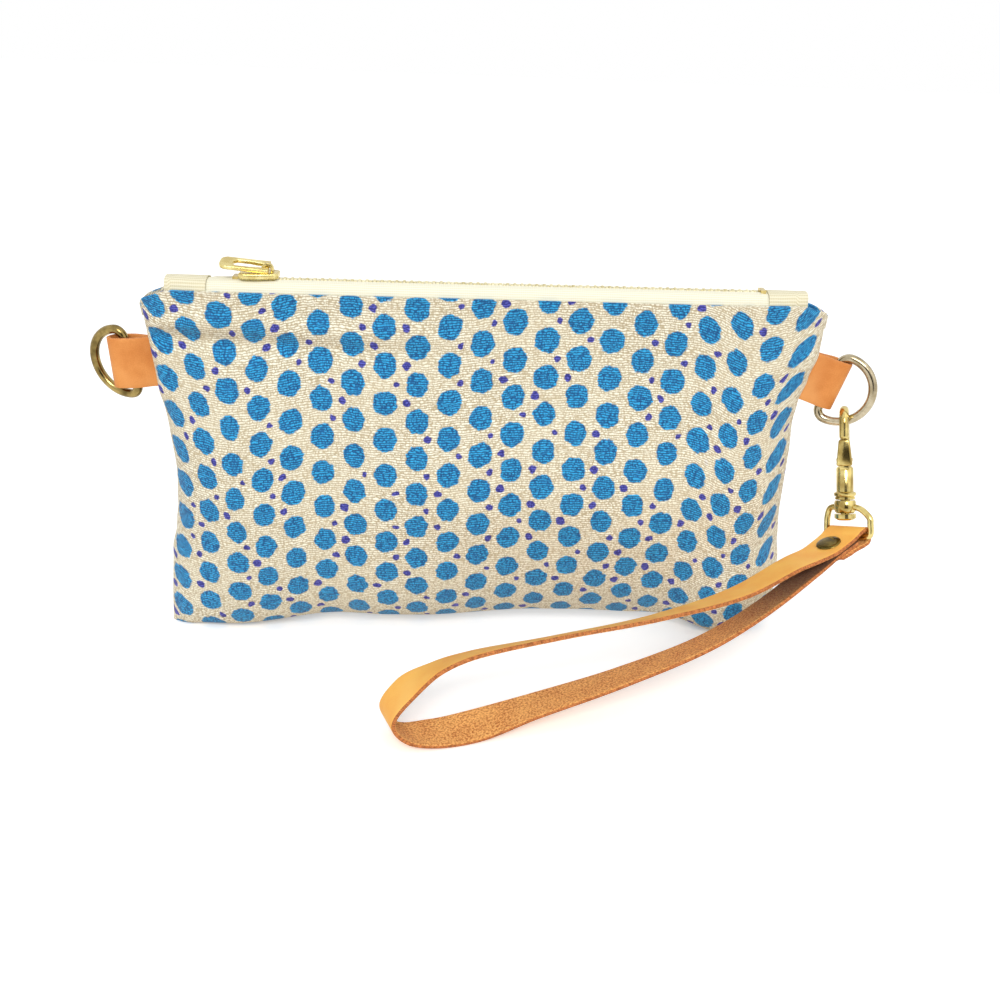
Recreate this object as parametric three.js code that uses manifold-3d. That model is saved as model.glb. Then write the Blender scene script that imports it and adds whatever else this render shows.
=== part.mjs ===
// A zip-top wristlet clutch: a lined canvas pouch with a metal zip, two leather tabs with D-rings,
// and a leather wrist strap on a swivel snap hook. Millimetres, +Z up, front of the pouch at -Y.
// The origin is the middle of the base that the pouch stands on.
import * as THREE from 'three';
import { mergeVertices } from 'three/addons/utils/BufferGeometryUtils.js';
import Module from 'manifold-3d';

const wasm = await Module();
wasm.setup();

// Clearances
const GAP = 0.3;
const SIDE_PLAY = 0.2;

// Pouch
const POUCH_WIDTH = 205;
const PANEL_HEIGHT = 114.8;
const BELLY_HALF = 15;
const BELLY_HEIGHT = 45;
const MOUTH_HALF = 7;
const BASE_HALF = 1.8;
const FOOT_HALF = 4.5;
const BASE_LIFT = 6.4;
const UNDERSIDE_RISE = 5;
const PANEL_WALL = 1.2;
const SEAM_HALF = 2;
const LEFT_PULL_IN = 4;
const RIGHT_PULL_IN = 1.5;
const LEFT_CORNER_DROP = 5.6;
const RIGHT_CORNER_DROP = 3.2;
const CORNER_SPAN = 12;
const LINING_WALL = 0.5;
const LINING_INSET = 8;

// Zip
const RIDGE_RISE = 3;
const TAPE_WALL = 0.7;
const TAPE_TUCK = 6;
const LEFT_TAPE_INSET = 8.3;
const RIGHT_TAPE_INSET = 5.8;
const TOOTH_PITCH = 2.2;
const TOOTH_WIDTH = 0.8;
const TOOTH_REACH = 1.9;
const TOOTH_HEIGHT = 1.8;
const BEAD_WIDTH = 0.8;
const ZIP_END_LENGTH = 12.2;
const LEFT_BARE_TAPE = 11.6;
const RIGHT_BARE_TAPE = 2.5;
const ZIP_END_WALL = 0.8;
const STOP_LENGTH = 1.6;
const STOP_WIDTH = 1.8;
const SLIDER_LENGTH = 11.5;
const SLIDER_NOSE_HALF = 4.2;
const SLIDER_TAIL_HALF = 3;
const SLIDER_KEEL_HALF = 2.8;
const SLIDER_PLATE = 0.9;
const WEDGE_LENGTH = 1.8;
const WEDGE_HALF = 1.1;
const BAIL_WIDTH = 2;
const BAIL_BAR = 0.9;
const PULL_BAR = 1.2;
const PULL_LENGTH = 13.8;
const PULL_WIDTH = 6.4;
const PULL_SLOT = 9.4;
const PULL_FROM_NOSE = 8.2;

// Tabs and D-rings
const TAB_HEIGHT = 15.5;
const TAB_LEATHER = 1.3;
const TAB_INSET = 4.5;
const TAB_BELOW_TOP = 22.9;
const TAB_SLOT = 6.5;
const LEFT_TAB_REACH = 13.4;
const RIGHT_TAB_REACH = 11.7;
const LEFT_TAB_DROOP = 2.1;
const RIGHT_TAB_DROOP = 16.6;
const LEFT_RING = { slack: 3, drop: 0.2, swing: -22, tip: 7 };
const RIGHT_RING = { slack: 0.8, drop: 0.9, swing: -28, tip: 0 };
const RING_WIRE = 2.8;
const RING_RADIUS = 10.3;
const RING_CORNER = 3;

// Snap hook and swivel eye, measured from the ring wire down the hook's own axis
const HOOK_ON_RING = -54;
const HOOK_LEAN = 21.3;
const HOOK_TILT = 3.1;
const HOOK_TURN = -23;
const HOOK_STRAND = 2.9;
const HOOK_HALF = 4.4;
const NOSE_DEPTH = 5.3;
const SHANK_DEPTH = 9.5;
const BARREL_TOP = 14.3;
const BARREL_LENGTH = 10.5;
const BARREL_RADIUS = 2.6;
const COLLAR_RADIUS = 3.4;
const COLLAR_HEIGHT = 1.1;
const STUD_RADIUS = 1.3;
const STUD_SEAT = 5.5;
const STUD_HEAD_RADIUS = 3.3;
const STUD_HEAD_HEIGHT = 2;
const BOSS_HEIGHT = 4;
const EYE_WIRE = 1.8;
const EYE_LENGTH = 11.6;
const EYE_TURN = 28;
const EYE_CORNER = 1.15;
const GATE_PIN_RADIUS = 0.55;
const GATE_PIN_DEPTH = 12.2;
const GATE_PIN_OFFSET = 1.7;
const GATE_WALL = 0.7;
const GATE_SWING_PLAY = 0.9;
const SPRING_WALL = 0.3;

// Wrist strap
const STRAP_WIDTH = 12.7;
const STRAP_LEATHER = 1.5;
const STRAP_REACH = 143;
const STRAP_SWING = 73;
const STRAP_SKEW = 0.25;
const RIVET_FROM_BAR = 8.6;
const STACK_LENGTH = 13;
const RIVET_CAP_RADIUS = 4.1;
const RIVET_CAP_HEIGHT = 1.6;
const RIVET_POST_RADIUS = 1.5;

// Derived sizes that several pieces share
const half = POUCH_WIDTH / 2;
const ridge = PANEL_HEIGHT + RIDGE_RISE;
const tapeLeft = LEFT_TAPE_INSET - half;
const tapeRight = half - RIGHT_TAPE_INSET;
const chainLeft = tapeLeft + ZIP_END_LENGTH + LEFT_BARE_TAPE;
const chainRight = tapeRight - ZIP_END_LENGTH - RIGHT_BARE_TAPE;
const tabLevel = PANEL_HEIGHT - TAB_BELOW_TOP;
const radians = THREE.MathUtils.degToRad;
const vec = (x, y, z) => new THREE.Vector3(x, y, z);

// Turn a closed mesh into a solid for cutting, and back again.
function solidOf(geometry) {
  const bare = geometry.clone();
  bare.deleteAttribute('normal');
  bare.deleteAttribute('uv');
  const merged = mergeVertices(bare, 1e-4);
  return new wasm.Manifold(new wasm.Mesh({
    numProp: 3,
    vertProperties: new Float32Array(merged.attributes.position.array),
    triVerts: new Uint32Array(merged.index.array),
  }));
}

function geometryOf(solid) {
  const mesh = solid.getMesh();
  const geometry = new THREE.BufferGeometry();
  geometry.setAttribute('position', new THREE.BufferAttribute(new Float32Array(mesh.vertProperties), 3));
  geometry.setIndex(new THREE.BufferAttribute(new Uint32Array(mesh.triVerts), 1));
  return geometry;
}

function cut(geometry, ...tools) {
  return geometryOf(tools.reduce((solid, tool) => solid.subtract(solidOf(tool)), solidOf(geometry)));
}

function join(...geometries) {
  return geometryOf(geometries.map(solidOf).reduce((all, solid) => all.add(solid)));
}

// A sheet of real thickness between two grids of points that match point for point.
function sheet(outer, inner) {
  const rows = outer.length;
  const columns = outer[0].length;
  const points = [...outer.flat(), ...inner.flat()];
  const out = (i, j) => i * columns + j;
  const inn = (i, j) => rows * columns + i * columns + j;
  const triangles = [];
  const quad = (a, b, c, d) => triangles.push(a, b, c, a, c, d);
  for (let i = 0; i < rows - 1; i++) {
    for (let j = 0; j < columns - 1; j++) {
      quad(out(i, j), out(i + 1, j), out(i + 1, j + 1), out(i, j + 1));
      quad(inn(i, j), inn(i, j + 1), inn(i + 1, j + 1), inn(i + 1, j));
    }
    quad(out(i, 0), inn(i, 0), inn(i + 1, 0), out(i + 1, 0));
    quad(out(i, columns - 1), out(i + 1, columns - 1), inn(i + 1, columns - 1), inn(i, columns - 1));
  }
  for (let j = 0; j < columns - 1; j++) {
    quad(out(0, j), out(0, j + 1), inn(0, j + 1), inn(0, j));
    quad(out(rows - 1, j), inn(rows - 1, j), inn(rows - 1, j + 1), out(rows - 1, j + 1));
  }
  const geometry = new THREE.BufferGeometry().setFromPoints(points);
  geometry.setIndex(facingOut(points, triangles));
  return geometry;
}

function facingOut(points, triangles) {
  const cross = vec(0, 0, 0);
  let volume = 0;
  for (let t = 0; t < triangles.length; t += 3) {
    cross.crossVectors(points[triangles[t + 1]], points[triangles[t + 2]]);
    volume += points[triangles[t]].dot(cross);
  }
  return volume < 0 ? triangles.reverse() : triangles;
}

function roundSection(radius, sides) {
  const corners = [];
  for (let i = 0; i < sides; i++) {
    const angle = (2 * Math.PI * i) / sides;
    corners.push(new THREE.Vector2(radius * Math.cos(angle), radius * Math.sin(angle)));
  }
  return new THREE.Shape(corners);
}

function wire(curve, diameter, sides, steps) {
  const section = roundSection(diameter / 2, sides);
  return new THREE.ExtrudeGeometry(section, { steps, extrudePath: curve, bevelEnabled: false });
}

// A turned piece about Z from points of radius and height.
function turned(profile, segments = 20) {
  const points = profile.map(([radius, height]) => new THREE.Vector2(radius, height));
  const lathe = new THREE.LatheGeometry(points, segments).rotateX(Math.PI / 2);
  const place = lathe.attributes.position;
  const corners = Array.from({ length: place.count }, (_, i) => vec().fromBufferAttribute(place, i));
  lathe.setIndex(facingOut(corners, Array.from(lathe.index.array)));
  return lathe;
}

// A flat outline in YZ given its thickness along X, centred on X = 0.
function plateAcrossX(outline, thickness) {
  const shape = new THREE.Shape(outline.map(([y, z]) => new THREE.Vector2(y, z)));
  const plate = new THREE.ExtrudeGeometry(shape, { depth: thickness, bevelEnabled: false });
  plate.translate(0, 0, -thickness / 2);
  return plate.applyMatrix4(new THREE.Matrix4().set(0, 0, 1, 0, 1, 0, 0, 0, 0, 1, 0, 0, 0, 0, 0, 1));
}

// A flat outline in XY given its height along Z from the given level.
function plateUpZ(shape, level, height, curveSegments = 6) {
  const plate = new THREE.ExtrudeGeometry(shape, { depth: height, bevelEnabled: false, curveSegments });
  return plate.translate(0, 0, level);
}

function rodAlongX(radius, length, y, z) {
  const rod = new THREE.CylinderGeometry(radius, radius, length, 16);
  return rod.rotateZ(Math.PI / 2).translate(0, y, z);
}

const part = new THREE.Group();

function addPiece(parent, name, geometry, colour, roughness, metalness = 0) {
  const material = new THREE.MeshStandardMaterial({ color: colour, roughness, metalness });
  const mesh = new THREE.Mesh(geometry, material);
  mesh.name = name;
  parent.add(mesh);
  return mesh;
}

const CANVAS = 0xe6dbb7;
const LINING = 0xefe8d2;
const TAPE = 0xf5f3dd;
const LEATHER = 0xe8a05c;
const STRAP = 0xeeb870;
const BRASS = 0xcdb36a;

// The pouch's form: how far its sides are drawn in, and how full it is across its width.
function pullIn(z) {
  return Math.sin(Math.PI * THREE.MathUtils.clamp(z / PANEL_HEIGHT, 0, 1));
}

function seamEdge(side, z) {
  const drawn = side < 0 ? LEFT_PULL_IN : RIGHT_PULL_IN;
  return side * (half - drawn * pullIn(z));
}

function acrossPouch(u, z) {
  const drawn = u < 0 ? LEFT_PULL_IN : RIGHT_PULL_IN;
  return u * half - Math.sign(u) * Math.abs(u) ** 3 * drawn * pullIn(z);
}

const bellyShare = (u) => (1 - Math.abs(u) ** 6) ** 0.6;
const mouthShare = (u) => (1 - Math.abs(u) ** 10) ** 0.5;
const footShare = (u) => THREE.MathUtils.smoothstep(Math.abs(u), 0.3, 0.85) * (1 - Math.abs(u) ** 16) ** 0.5;

function topEdge(u) {
  const fromCorner = (1 - Math.abs(u)) * half;
  const dip = Math.max(0, 1 - fromCorner / CORNER_SPAN);
  return PANEL_HEIGHT - (u < 0 ? LEFT_CORNER_DROP : RIGHT_CORNER_DROP) * dip * dip;
}

// The pouch stands on its two lower corners. Between them the base seam is drawn up, in two steps
// from the left corner.
function baseLift(u) {
  const { smoothstep } = THREE.MathUtils;
  const fromLeft = 0.58 * smoothstep(u, -0.82, -0.45) + 0.42 * smoothstep(u, -0.2, 0.2);
  return BASE_LIFT * fromLeft * (1 - smoothstep(u, 0.56, 0.8));
}

// One section of a pouch wall in the YZ plane, from the base seam forward, round the belly and up.
// It turns under flat at the corners, and rounder the more the base is lifted.
function wallSection(u, skin, seam, lift, top) {
  const bottom = skin.inset + lift;
  const round = lift / BASE_LIFT;
  const seamDepth = seam + (SEAM_HALF - seam) * skin.edge;
  const grow = (full, share) => seamDepth + Math.max(0, full - skin.inset - seamDepth) * share;
  const belly = grow(BELLY_HALF, bellyShare(u));
  const mouth = grow(MOUTH_HALF, mouthShare(u));
  const foot = BASE_HALF + (FOOT_HALF - BASE_HALF) * footShare(u);
  const base = Math.min(grow(foot, mouthShare(u)), belly * 0.8);
  const low = new THREE.CubicBezierCurve(
    new THREE.Vector2(base, bottom),
    new THREE.Vector2(base + (belly - base) * (0.75 - 0.4 * round), bottom + UNDERSIDE_RISE * round),
    new THREE.Vector2(belly, bottom + BELLY_HEIGHT * 0.35),
    new THREE.Vector2(belly, BELLY_HEIGHT),
  );
  const rise = top - BELLY_HEIGHT;
  const high = new THREE.CubicBezierCurve(
    new THREE.Vector2(belly, BELLY_HEIGHT),
    new THREE.Vector2(belly, BELLY_HEIGHT + rise * 0.35),
    new THREE.Vector2(mouth, top - rise * 0.4),
    new THREE.Vector2(mouth, top),
  );
  const flat = [new THREE.Vector2(seam, bottom)];
  return [...flat, ...low.getPoints(6), ...high.getPoints(7).slice(1)];
}

// The seams open a little round each sewn-in tab.
function tabFlare(u, z) {
  const near = 1 - THREE.MathUtils.smoothstep(Math.abs(z - tabLevel), TAB_HEIGHT / 2 + 2, TAB_HEIGHT / 2 + 8);
  const atSeam = THREE.MathUtils.smoothstep(Math.abs(u) * half, half - TAB_INSET - 3, half - 1);
  return near * atSeam * (TAB_LEATHER + GAP);
}

const PANEL_COLUMNS = [-1, -0.985, -0.96, -0.92, -0.86, -0.76, -0.68, -0.6, -0.4, -0.2,
  0, 0.2, 0.4, 0.6, 0.68, 0.76, 0.86, 0.92, 0.96, 0.985, 1];

function pouchPanel(face) {
  const grid = (skin) => PANEL_COLUMNS.map((u) => {
    const section = wallSection(u, skin, GAP / 2, baseLift(u), topEdge(u));
    return section.map((p) => vec(acrossPouch(u, p.y), face * (p.x + tabFlare(u, p.y)), p.y));
  });
  return sheet(grid({ inset: 0, edge: 1 }), grid({ inset: PANEL_WALL, edge: 0.15 }));
}

// The lining is a smaller pouch inside, sewn to the lower edges of the zip tapes. It doesn't reach
// down into the two corners.
function pouchLining(face) {
  const columns = PANEL_COLUMNS.filter((u, i) => i % 2 === 0);
  const reach = 1 - LINING_INSET / half;
  const clear = PANEL_WALL + GAP;
  const grid = (inset) => columns.map((u) => {
    const top = topEdge(u * reach) - TAPE_TUCK - GAP;
    const section = wallSection(u, { inset, edge: 0.15 }, GAP / 2, BASE_LIFT, top);
    return section.map((p) => vec(acrossPouch(u * reach, p.y), face * p.x, p.y));
  });
  return sheet(grid(clear), grid(clear + LINING_WALL));
}

addPiece(part, 'front_panel', pouchPanel(-1), CANVAS, 0.9);
addPiece(part, 'back_panel', pouchPanel(1), CANVAS, 0.9);
addPiece(part, 'front_lining', pouchLining(-1), LINING, 0.9);
addPiece(part, 'back_lining', pouchLining(1), LINING, 0.9);

// Zip tapes: tucked between panel and lining, then up and over to the edge that the teeth clamp.
const rowOuter = TOOTH_REACH / 2 + GAP / 2 + BEAD_WIDTH;

function tapeLine(u) {
  const tucked = SEAM_HALF * 0.15 + (MOUTH_HALF - SEAM_HALF * 0.15) * mouthShare(u)
    - PANEL_WALL - GAP - TAPE_WALL / 2;
  const edge = rowOuter + GAP;
  const shoulder = edge + (tucked - edge) * 0.6;
  const foot = topEdge(u) - TAPE_TUCK;
  return [
    new THREE.Vector2(tucked, foot),
    new THREE.Vector2(tucked, PANEL_HEIGHT - TAPE_WALL),
    new THREE.Vector2(shoulder, ridge - RIDGE_RISE * 0.25),
    new THREE.Vector2(edge, ridge),
  ];
}

// Move a line sideways by a distance, to the left of its direction.
function besides(line, distance) {
  return line.map((p, i) => {
    const before = line[Math.max(i - 1, 0)];
    const after = line[Math.min(i + 1, line.length - 1)];
    const inward = p.clone().sub(before).normalize();
    const outward = after.clone().sub(p).normalize();
    const along = inward.add(outward).normalize();
    return new THREE.Vector2(p.x - along.y * distance, p.y + along.x * distance);
  });
}

function zipTape(face) {
  const columns = [];
  const steps = 20;
  for (let i = 0; i <= steps; i++) {
    columns.push(tapeLeft + ((tapeRight - tapeLeft) * i) / steps);
  }
  const grid = (distance) => columns.map((x) => {
    return besides(tapeLine(x / half), distance).map((p) => vec(x, face * p.x, p.y));
  });
  return sheet(grid(-TAPE_WALL / 2), grid(TAPE_WALL / 2));
}

addPiece(part, 'front_zip_tape', zipTape(-1), TAPE, 0.85);
addPiece(part, 'back_zip_tape', zipTape(1), TAPE, 0.85);

// Cloth ends folded over the zip where the teeth stop.
function zipEnd(outer, inward) {
  const steps = 3;
  const grid = (distance) => {
    const rows = [];
    for (let i = 0; i <= steps; i++) {
      const x = outer + (inward * ZIP_END_LENGTH * i) / steps;
      const raised = besides(tapeLine(x / half).slice(1), distance);
      raised[0].y = topEdge(x / half) + GAP + TAPE_WALL;
      const front = raised.map((p) => vec(x, -p.x, p.y));
      const top = vec(x, 0, raised[2].y);
      const back = raised.map((p) => vec(x, p.x, p.y)).reverse();
      rows.push([...front, top, ...back]);
    }
    return rows;
  };
  const inner = -(TAPE_WALL / 2 + GAP);
  return sheet(grid(inner - ZIP_END_WALL), grid(inner));
}

addPiece(part, 'left_zip_end', zipEnd(tapeLeft, 1), TAPE, 0.85);
addPiece(part, 'right_zip_end', zipEnd(tapeRight, -1), TAPE, 0.85);

// Each row of teeth is two half rows, so that the mouth can open as a slim diamond.
function toothRow(face, from, to) {
  const beadIn = TOOTH_REACH / 2 + GAP / 2;
  const tip = -(TOOTH_REACH / 2 - GAP / 2);
  const shift = face < 0 ? 0 : TOOTH_PITCH / 2;
  const count = Math.floor((to - from - TOOTH_WIDTH - shift) / TOOTH_PITCH) + 1;
  const outline = [[from, rowOuter], [from, beadIn]];
  for (let i = 0; i < count; i++) {
    const start = from + SIDE_PLAY + shift + i * TOOTH_PITCH;
    outline.push([start, beadIn], [start, tip], [start + TOOTH_WIDTH, tip], [start + TOOTH_WIDTH, beadIn]);
  }
  outline.push([to, beadIn], [to, rowOuter]);
  const corners = outline.map(([x, y]) => new THREE.Vector2(x, face * y));
  return plateUpZ(new THREE.Shape(corners), ridge - TOOTH_HEIGHT / 2, TOOTH_HEIGHT);
}

const chainPitches = Math.floor((chainRight - chainLeft) / TOOTH_PITCH / 2);
const chainMiddle = chainLeft + chainPitches * TOOTH_PITCH;
for (const [name, face] of [['front', -1], ['back', 1]]) {
  const left = toothRow(face, chainLeft, chainMiddle - GAP / 2);
  const right = toothRow(face, chainMiddle + GAP / 2, chainRight);
  addPiece(part, `${name}_left_teeth`, left, BRASS, 0.35, 1);
  addPiece(part, `${name}_right_teeth`, right, BRASS, 0.35, 1);
}

// The slider: an upper and a lower plate joined by a wedge at the nose, with a bail for the pull.
const sliderNose = chainLeft - GAP - WEDGE_LENGTH - SIDE_PLAY;
const plateLevel = TOOTH_HEIGHT / 2 + GAP;
const plateTop = ridge + plateLevel + SLIDER_PLATE;
const pullPivotX = sliderNose + PULL_FROM_NOSE;
const pullPivotZ = plateTop + GAP + PULL_BAR / 2;

function sliderPlate(noseHalf, tailHalf, level) {
  const shape = new THREE.Shape();
  const tail = sliderNose + SLIDER_LENGTH;
  shape.moveTo(sliderNose, -noseHalf * 0.8);
  shape.lineTo(sliderNose + SLIDER_LENGTH * 0.12, -noseHalf);
  shape.lineTo(sliderNose + SLIDER_LENGTH * 0.45, -noseHalf);
  shape.lineTo(tail, -tailHalf);
  shape.lineTo(tail, tailHalf);
  shape.lineTo(sliderNose + SLIDER_LENGTH * 0.45, noseHalf);
  shape.lineTo(sliderNose + SLIDER_LENGTH * 0.12, noseHalf);
  shape.lineTo(sliderNose, noseHalf * 0.8);
  return plateUpZ(shape, level, SLIDER_PLATE);
}

function sliderBail() {
  const inside = PULL_BAR / 2 + GAP;
  const outside = inside + BAIL_BAR;
  const arch = new THREE.Shape();
  arch.moveTo(-outside, 0);
  arch.lineTo(outside, 0);
  arch.lineTo(outside, pullPivotZ - plateTop);
  arch.absarc(0, pullPivotZ - plateTop, outside, 0, Math.PI, false);
  const window = new THREE.Path();
  window.moveTo(-inside, SIDE_PLAY / 2);
  window.lineTo(inside, SIDE_PLAY / 2);
  window.lineTo(inside, pullPivotZ - plateTop);
  window.absarc(0, pullPivotZ - plateTop, inside, 0, Math.PI, false);
  arch.holes.push(window);
  const bail = new THREE.ExtrudeGeometry(arch, { depth: BAIL_WIDTH, bevelEnabled: false, curveSegments: 6 });
  const sunk = SIDE_PLAY / 4;
  return bail.rotateX(Math.PI / 2).translate(pullPivotX, BAIL_WIDTH / 2, plateTop - sunk);
}

function sliderBody() {
  const upper = sliderPlate(SLIDER_NOSE_HALF, SLIDER_TAIL_HALF, ridge + plateLevel);
  const lower = sliderPlate(SLIDER_KEEL_HALF, SLIDER_KEEL_HALF * 0.8, ridge - plateLevel - SLIDER_PLATE);
  const wedgeHeight = 2 * plateLevel + SLIDER_PLATE;
  const wedge = new THREE.BoxGeometry(WEDGE_LENGTH, 2 * WEDGE_HALF, wedgeHeight);
  wedge.translate(sliderNose + SIDE_PLAY + WEDGE_LENGTH / 2, 0, ridge);
  return join(upper, lower, wedge, sliderBail());
}

function pullTab() {
  const slotHalf = BAIL_WIDTH / 2 + GAP;
  const plate = new THREE.Shape();
  const round = PULL_WIDTH * 0.3;
  plate.moveTo(PULL_BAR / 2, -PULL_WIDTH / 2);
  plate.lineTo(PULL_BAR / 2, PULL_WIDTH / 2);
  plate.lineTo(round - PULL_LENGTH, PULL_WIDTH / 2);
  plate.absarc(round - PULL_LENGTH, PULL_WIDTH / 2 - round, round, Math.PI / 2, Math.PI, false);
  plate.absarc(round - PULL_LENGTH, round - PULL_WIDTH / 2, round, Math.PI, Math.PI * 1.5, false);
  const slot = new THREE.Path();
  slot.moveTo(-PULL_BAR / 2, -slotHalf);
  slot.lineTo(-PULL_BAR / 2, slotHalf);
  slot.lineTo(-PULL_BAR / 2 - PULL_SLOT, slotHalf);
  slot.lineTo(-PULL_BAR / 2 - PULL_SLOT, -slotHalf);
  plate.holes.push(slot);
  return plateUpZ(plate, -PULL_BAR / 2, PULL_BAR);
}

addPiece(part, 'slider_body', sliderBody(), BRASS, 0.3, 1);
const pull = addPiece(part, 'pull_tab', pullTab(), BRASS, 0.3, 1);
pull.position.set(pullPivotX, 0, pullPivotZ);

function zipStop(x, y, width) {
  const stop = new THREE.BoxGeometry(STOP_LENGTH, width, TOOTH_HEIGHT);
  return stop.translate(x, y, ridge);
}

const topStopX = sliderNose - GAP - STOP_LENGTH / 2;
const stopY = rowOuter - STOP_WIDTH / 2;
addPiece(part, 'front_top_stop', zipStop(topStopX, -stopY, STOP_WIDTH), BRASS, 0.35, 1);
addPiece(part, 'back_top_stop', zipStop(topStopX, stopY, STOP_WIDTH), BRASS, 0.35, 1);
const bottomStopX = chainRight + GAP + STOP_LENGTH / 2;
addPiece(part, 'bottom_stop', zipStop(bottomStopX, 0, 2 * rowOuter), BRASS, 0.35, 1);

// A leather tab is one strip folded round the ring's bar, with its ends sewn into the side seam.
function leatherTab(reach, slack) {
  const slotHalf = RING_WIRE / 2 + GAP;
  const outHalf = slotHalf + TAB_LEATHER;
  const slotEnd = reach - TAB_LEATHER;
  const slotStart = slotEnd - TAB_SLOT - slack;
  const strip = new THREE.Shape();
  strip.moveTo(-TAB_INSET, -TAB_LEATHER);
  strip.lineTo(slotStart - slotHalf, -TAB_LEATHER);
  strip.lineTo(slotStart + outHalf, -outHalf);
  strip.lineTo(reach - outHalf, -outHalf);
  strip.absarc(reach - outHalf, 0, outHalf, -Math.PI / 2, Math.PI / 2, false);
  strip.lineTo(slotStart + outHalf, outHalf);
  strip.lineTo(slotStart - slotHalf, TAB_LEATHER);
  strip.lineTo(-TAB_INSET, TAB_LEATHER);
  const slot = new THREE.Path();
  slot.moveTo(slotStart, 0);
  slot.lineTo(slotStart + outHalf, -slotHalf);
  slot.lineTo(slotEnd - slotHalf, -slotHalf);
  slot.absarc(slotEnd - slotHalf, 0, slotHalf, -Math.PI / 2, Math.PI / 2, false);
  slot.lineTo(slotStart + outHalf, slotHalf);
  strip.holes.push(slot);
  return plateUpZ(strip, -TAB_HEIGHT / 2, TAB_HEIGHT, 8);
}

// A D-ring of bent wire in the XZ plane, its bar on Z and its ends butted at the middle of the bar.
function dRing() {
  const barHalf = RING_RADIUS - RING_CORNER;
  const pull = 0.5523;
  const corner = (sign, outward) => {
    const a = vec(0, 0, sign * barHalf);
    const b = vec(0, 0, sign * (barHalf + RING_CORNER * pull));
    const c = vec(RING_CORNER * (1 - pull), 0, sign * RING_RADIUS);
    const d = vec(RING_CORNER, 0, sign * RING_RADIUS);
    return outward ? new THREE.CubicBezierCurve3(a, b, c, d) : new THREE.CubicBezierCurve3(d, c, b, a);
  };
  const quarter = (sign, outward) => {
    const a = vec(RING_CORNER, 0, sign * RING_RADIUS);
    const b = vec(RING_CORNER + RING_RADIUS * pull, 0, sign * RING_RADIUS);
    const c = vec(RING_CORNER + RING_RADIUS, 0, sign * RING_RADIUS * pull);
    const d = vec(RING_CORNER + RING_RADIUS, 0, 0);
    return outward ? new THREE.CubicBezierCurve3(a, b, c, d) : new THREE.CubicBezierCurve3(d, c, b, a);
  };
  const path = new THREE.CurvePath();
  path.add(new THREE.LineCurve3(vec(0, 0, GAP / 2), vec(0, 0, barHalf)));
  path.add(corner(1, true));
  path.add(quarter(1, true));
  path.add(quarter(-1, false));
  path.add(corner(-1, false));
  path.add(new THREE.LineCurve3(vec(0, 0, -barHalf), vec(0, 0, -GAP / 2)));
  return wire(path, RING_WIRE, 10, 44);
}

function tabGroup(side, droop) {
  const group = new THREE.Group();
  group.position.set(seamEdge(side, tabLevel), 0, tabLevel);
  group.rotation.set(0, radians(droop), side < 0 ? Math.PI : 0, 'ZYX');
  part.add(group);
  return group;
}

// A ring lies in its tab's fold with some slack, swung about its bar and tipped in the fold.
function ringAt(group, reach, { slack, drop, swing, tip }) {
  const ring = new THREE.Group();
  ring.position.set(reach - TAB_LEATHER - GAP - RING_WIRE / 2 - slack, 0, -drop);
  ring.rotation.set(0, radians(tip), radians(swing), 'YZX');
  group.add(ring);
  return ring;
}

const leftTab = tabGroup(-1, LEFT_TAB_DROOP);
addPiece(leftTab, 'left_tab', leatherTab(LEFT_TAB_REACH, LEFT_RING.slack), LEATHER, 0.6);
const leftRing = ringAt(leftTab, LEFT_TAB_REACH, LEFT_RING);
addPiece(leftRing, 'left_d_ring', dRing(), BRASS, 0.3, 1);

const rightTab = tabGroup(1, RIGHT_TAB_DROOP);
addPiece(rightTab, 'right_tab', leatherTab(RIGHT_TAB_REACH, RIGHT_RING.slack), LEATHER, 0.6);
const rightRing = ringAt(rightTab, RIGHT_TAB_REACH, RIGHT_RING);
addPiece(rightRing, 'right_d_ring', dRing(), BRASS, 0.3, 1);

// The snap hook hangs on the right ring. Its own frame has the ring's wire at its origin.
const hook = new THREE.Group();
part.updateMatrixWorld(true);
const hookAngle = radians(HOOK_ON_RING);
hook.position.copy(rightRing.localToWorld(
  vec(RING_CORNER + RING_RADIUS * Math.cos(hookAngle), 0, RING_RADIUS * Math.sin(hookAngle)),
));
hook.rotation.set(-radians(HOOK_LEAN), -radians(HOOK_TILT), radians(HOOK_TURN));
part.add(hook);

const archTop = RING_WIRE / 2 + 2 * GAP + HOOK_STRAND / 2;
const archLevel = archTop - HOOK_HALF;
const barrelBottom = BARREL_TOP + BARREL_LENGTH;

function hookStrand() {
  const path = new THREE.CatmullRomCurve3([
    vec(0, 0, -BARREL_TOP - 1),
    vec(0, HOOK_HALF * 0.3, 1 - BARREL_TOP),
    vec(0, HOOK_HALF * 0.92, -SHANK_DEPTH),
    vec(0, HOOK_HALF, archLevel - 1.5),
    vec(0, HOOK_HALF * 0.94, archLevel + HOOK_HALF * 0.34),
    vec(0, HOOK_HALF * 0.6, archLevel + HOOK_HALF * 0.8),
    vec(0, 0, archTop),
    vec(0, -HOOK_HALF * 0.6, archLevel + HOOK_HALF * 0.8),
    vec(0, -HOOK_HALF * 0.94, archLevel + HOOK_HALF * 0.34),
    vec(0, -HOOK_HALF, archLevel - 1.5),
    vec(0, -HOOK_HALF, -NOSE_DEPTH),
  ]);
  return wire(path, HOOK_STRAND, 10, 30);
}

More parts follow.
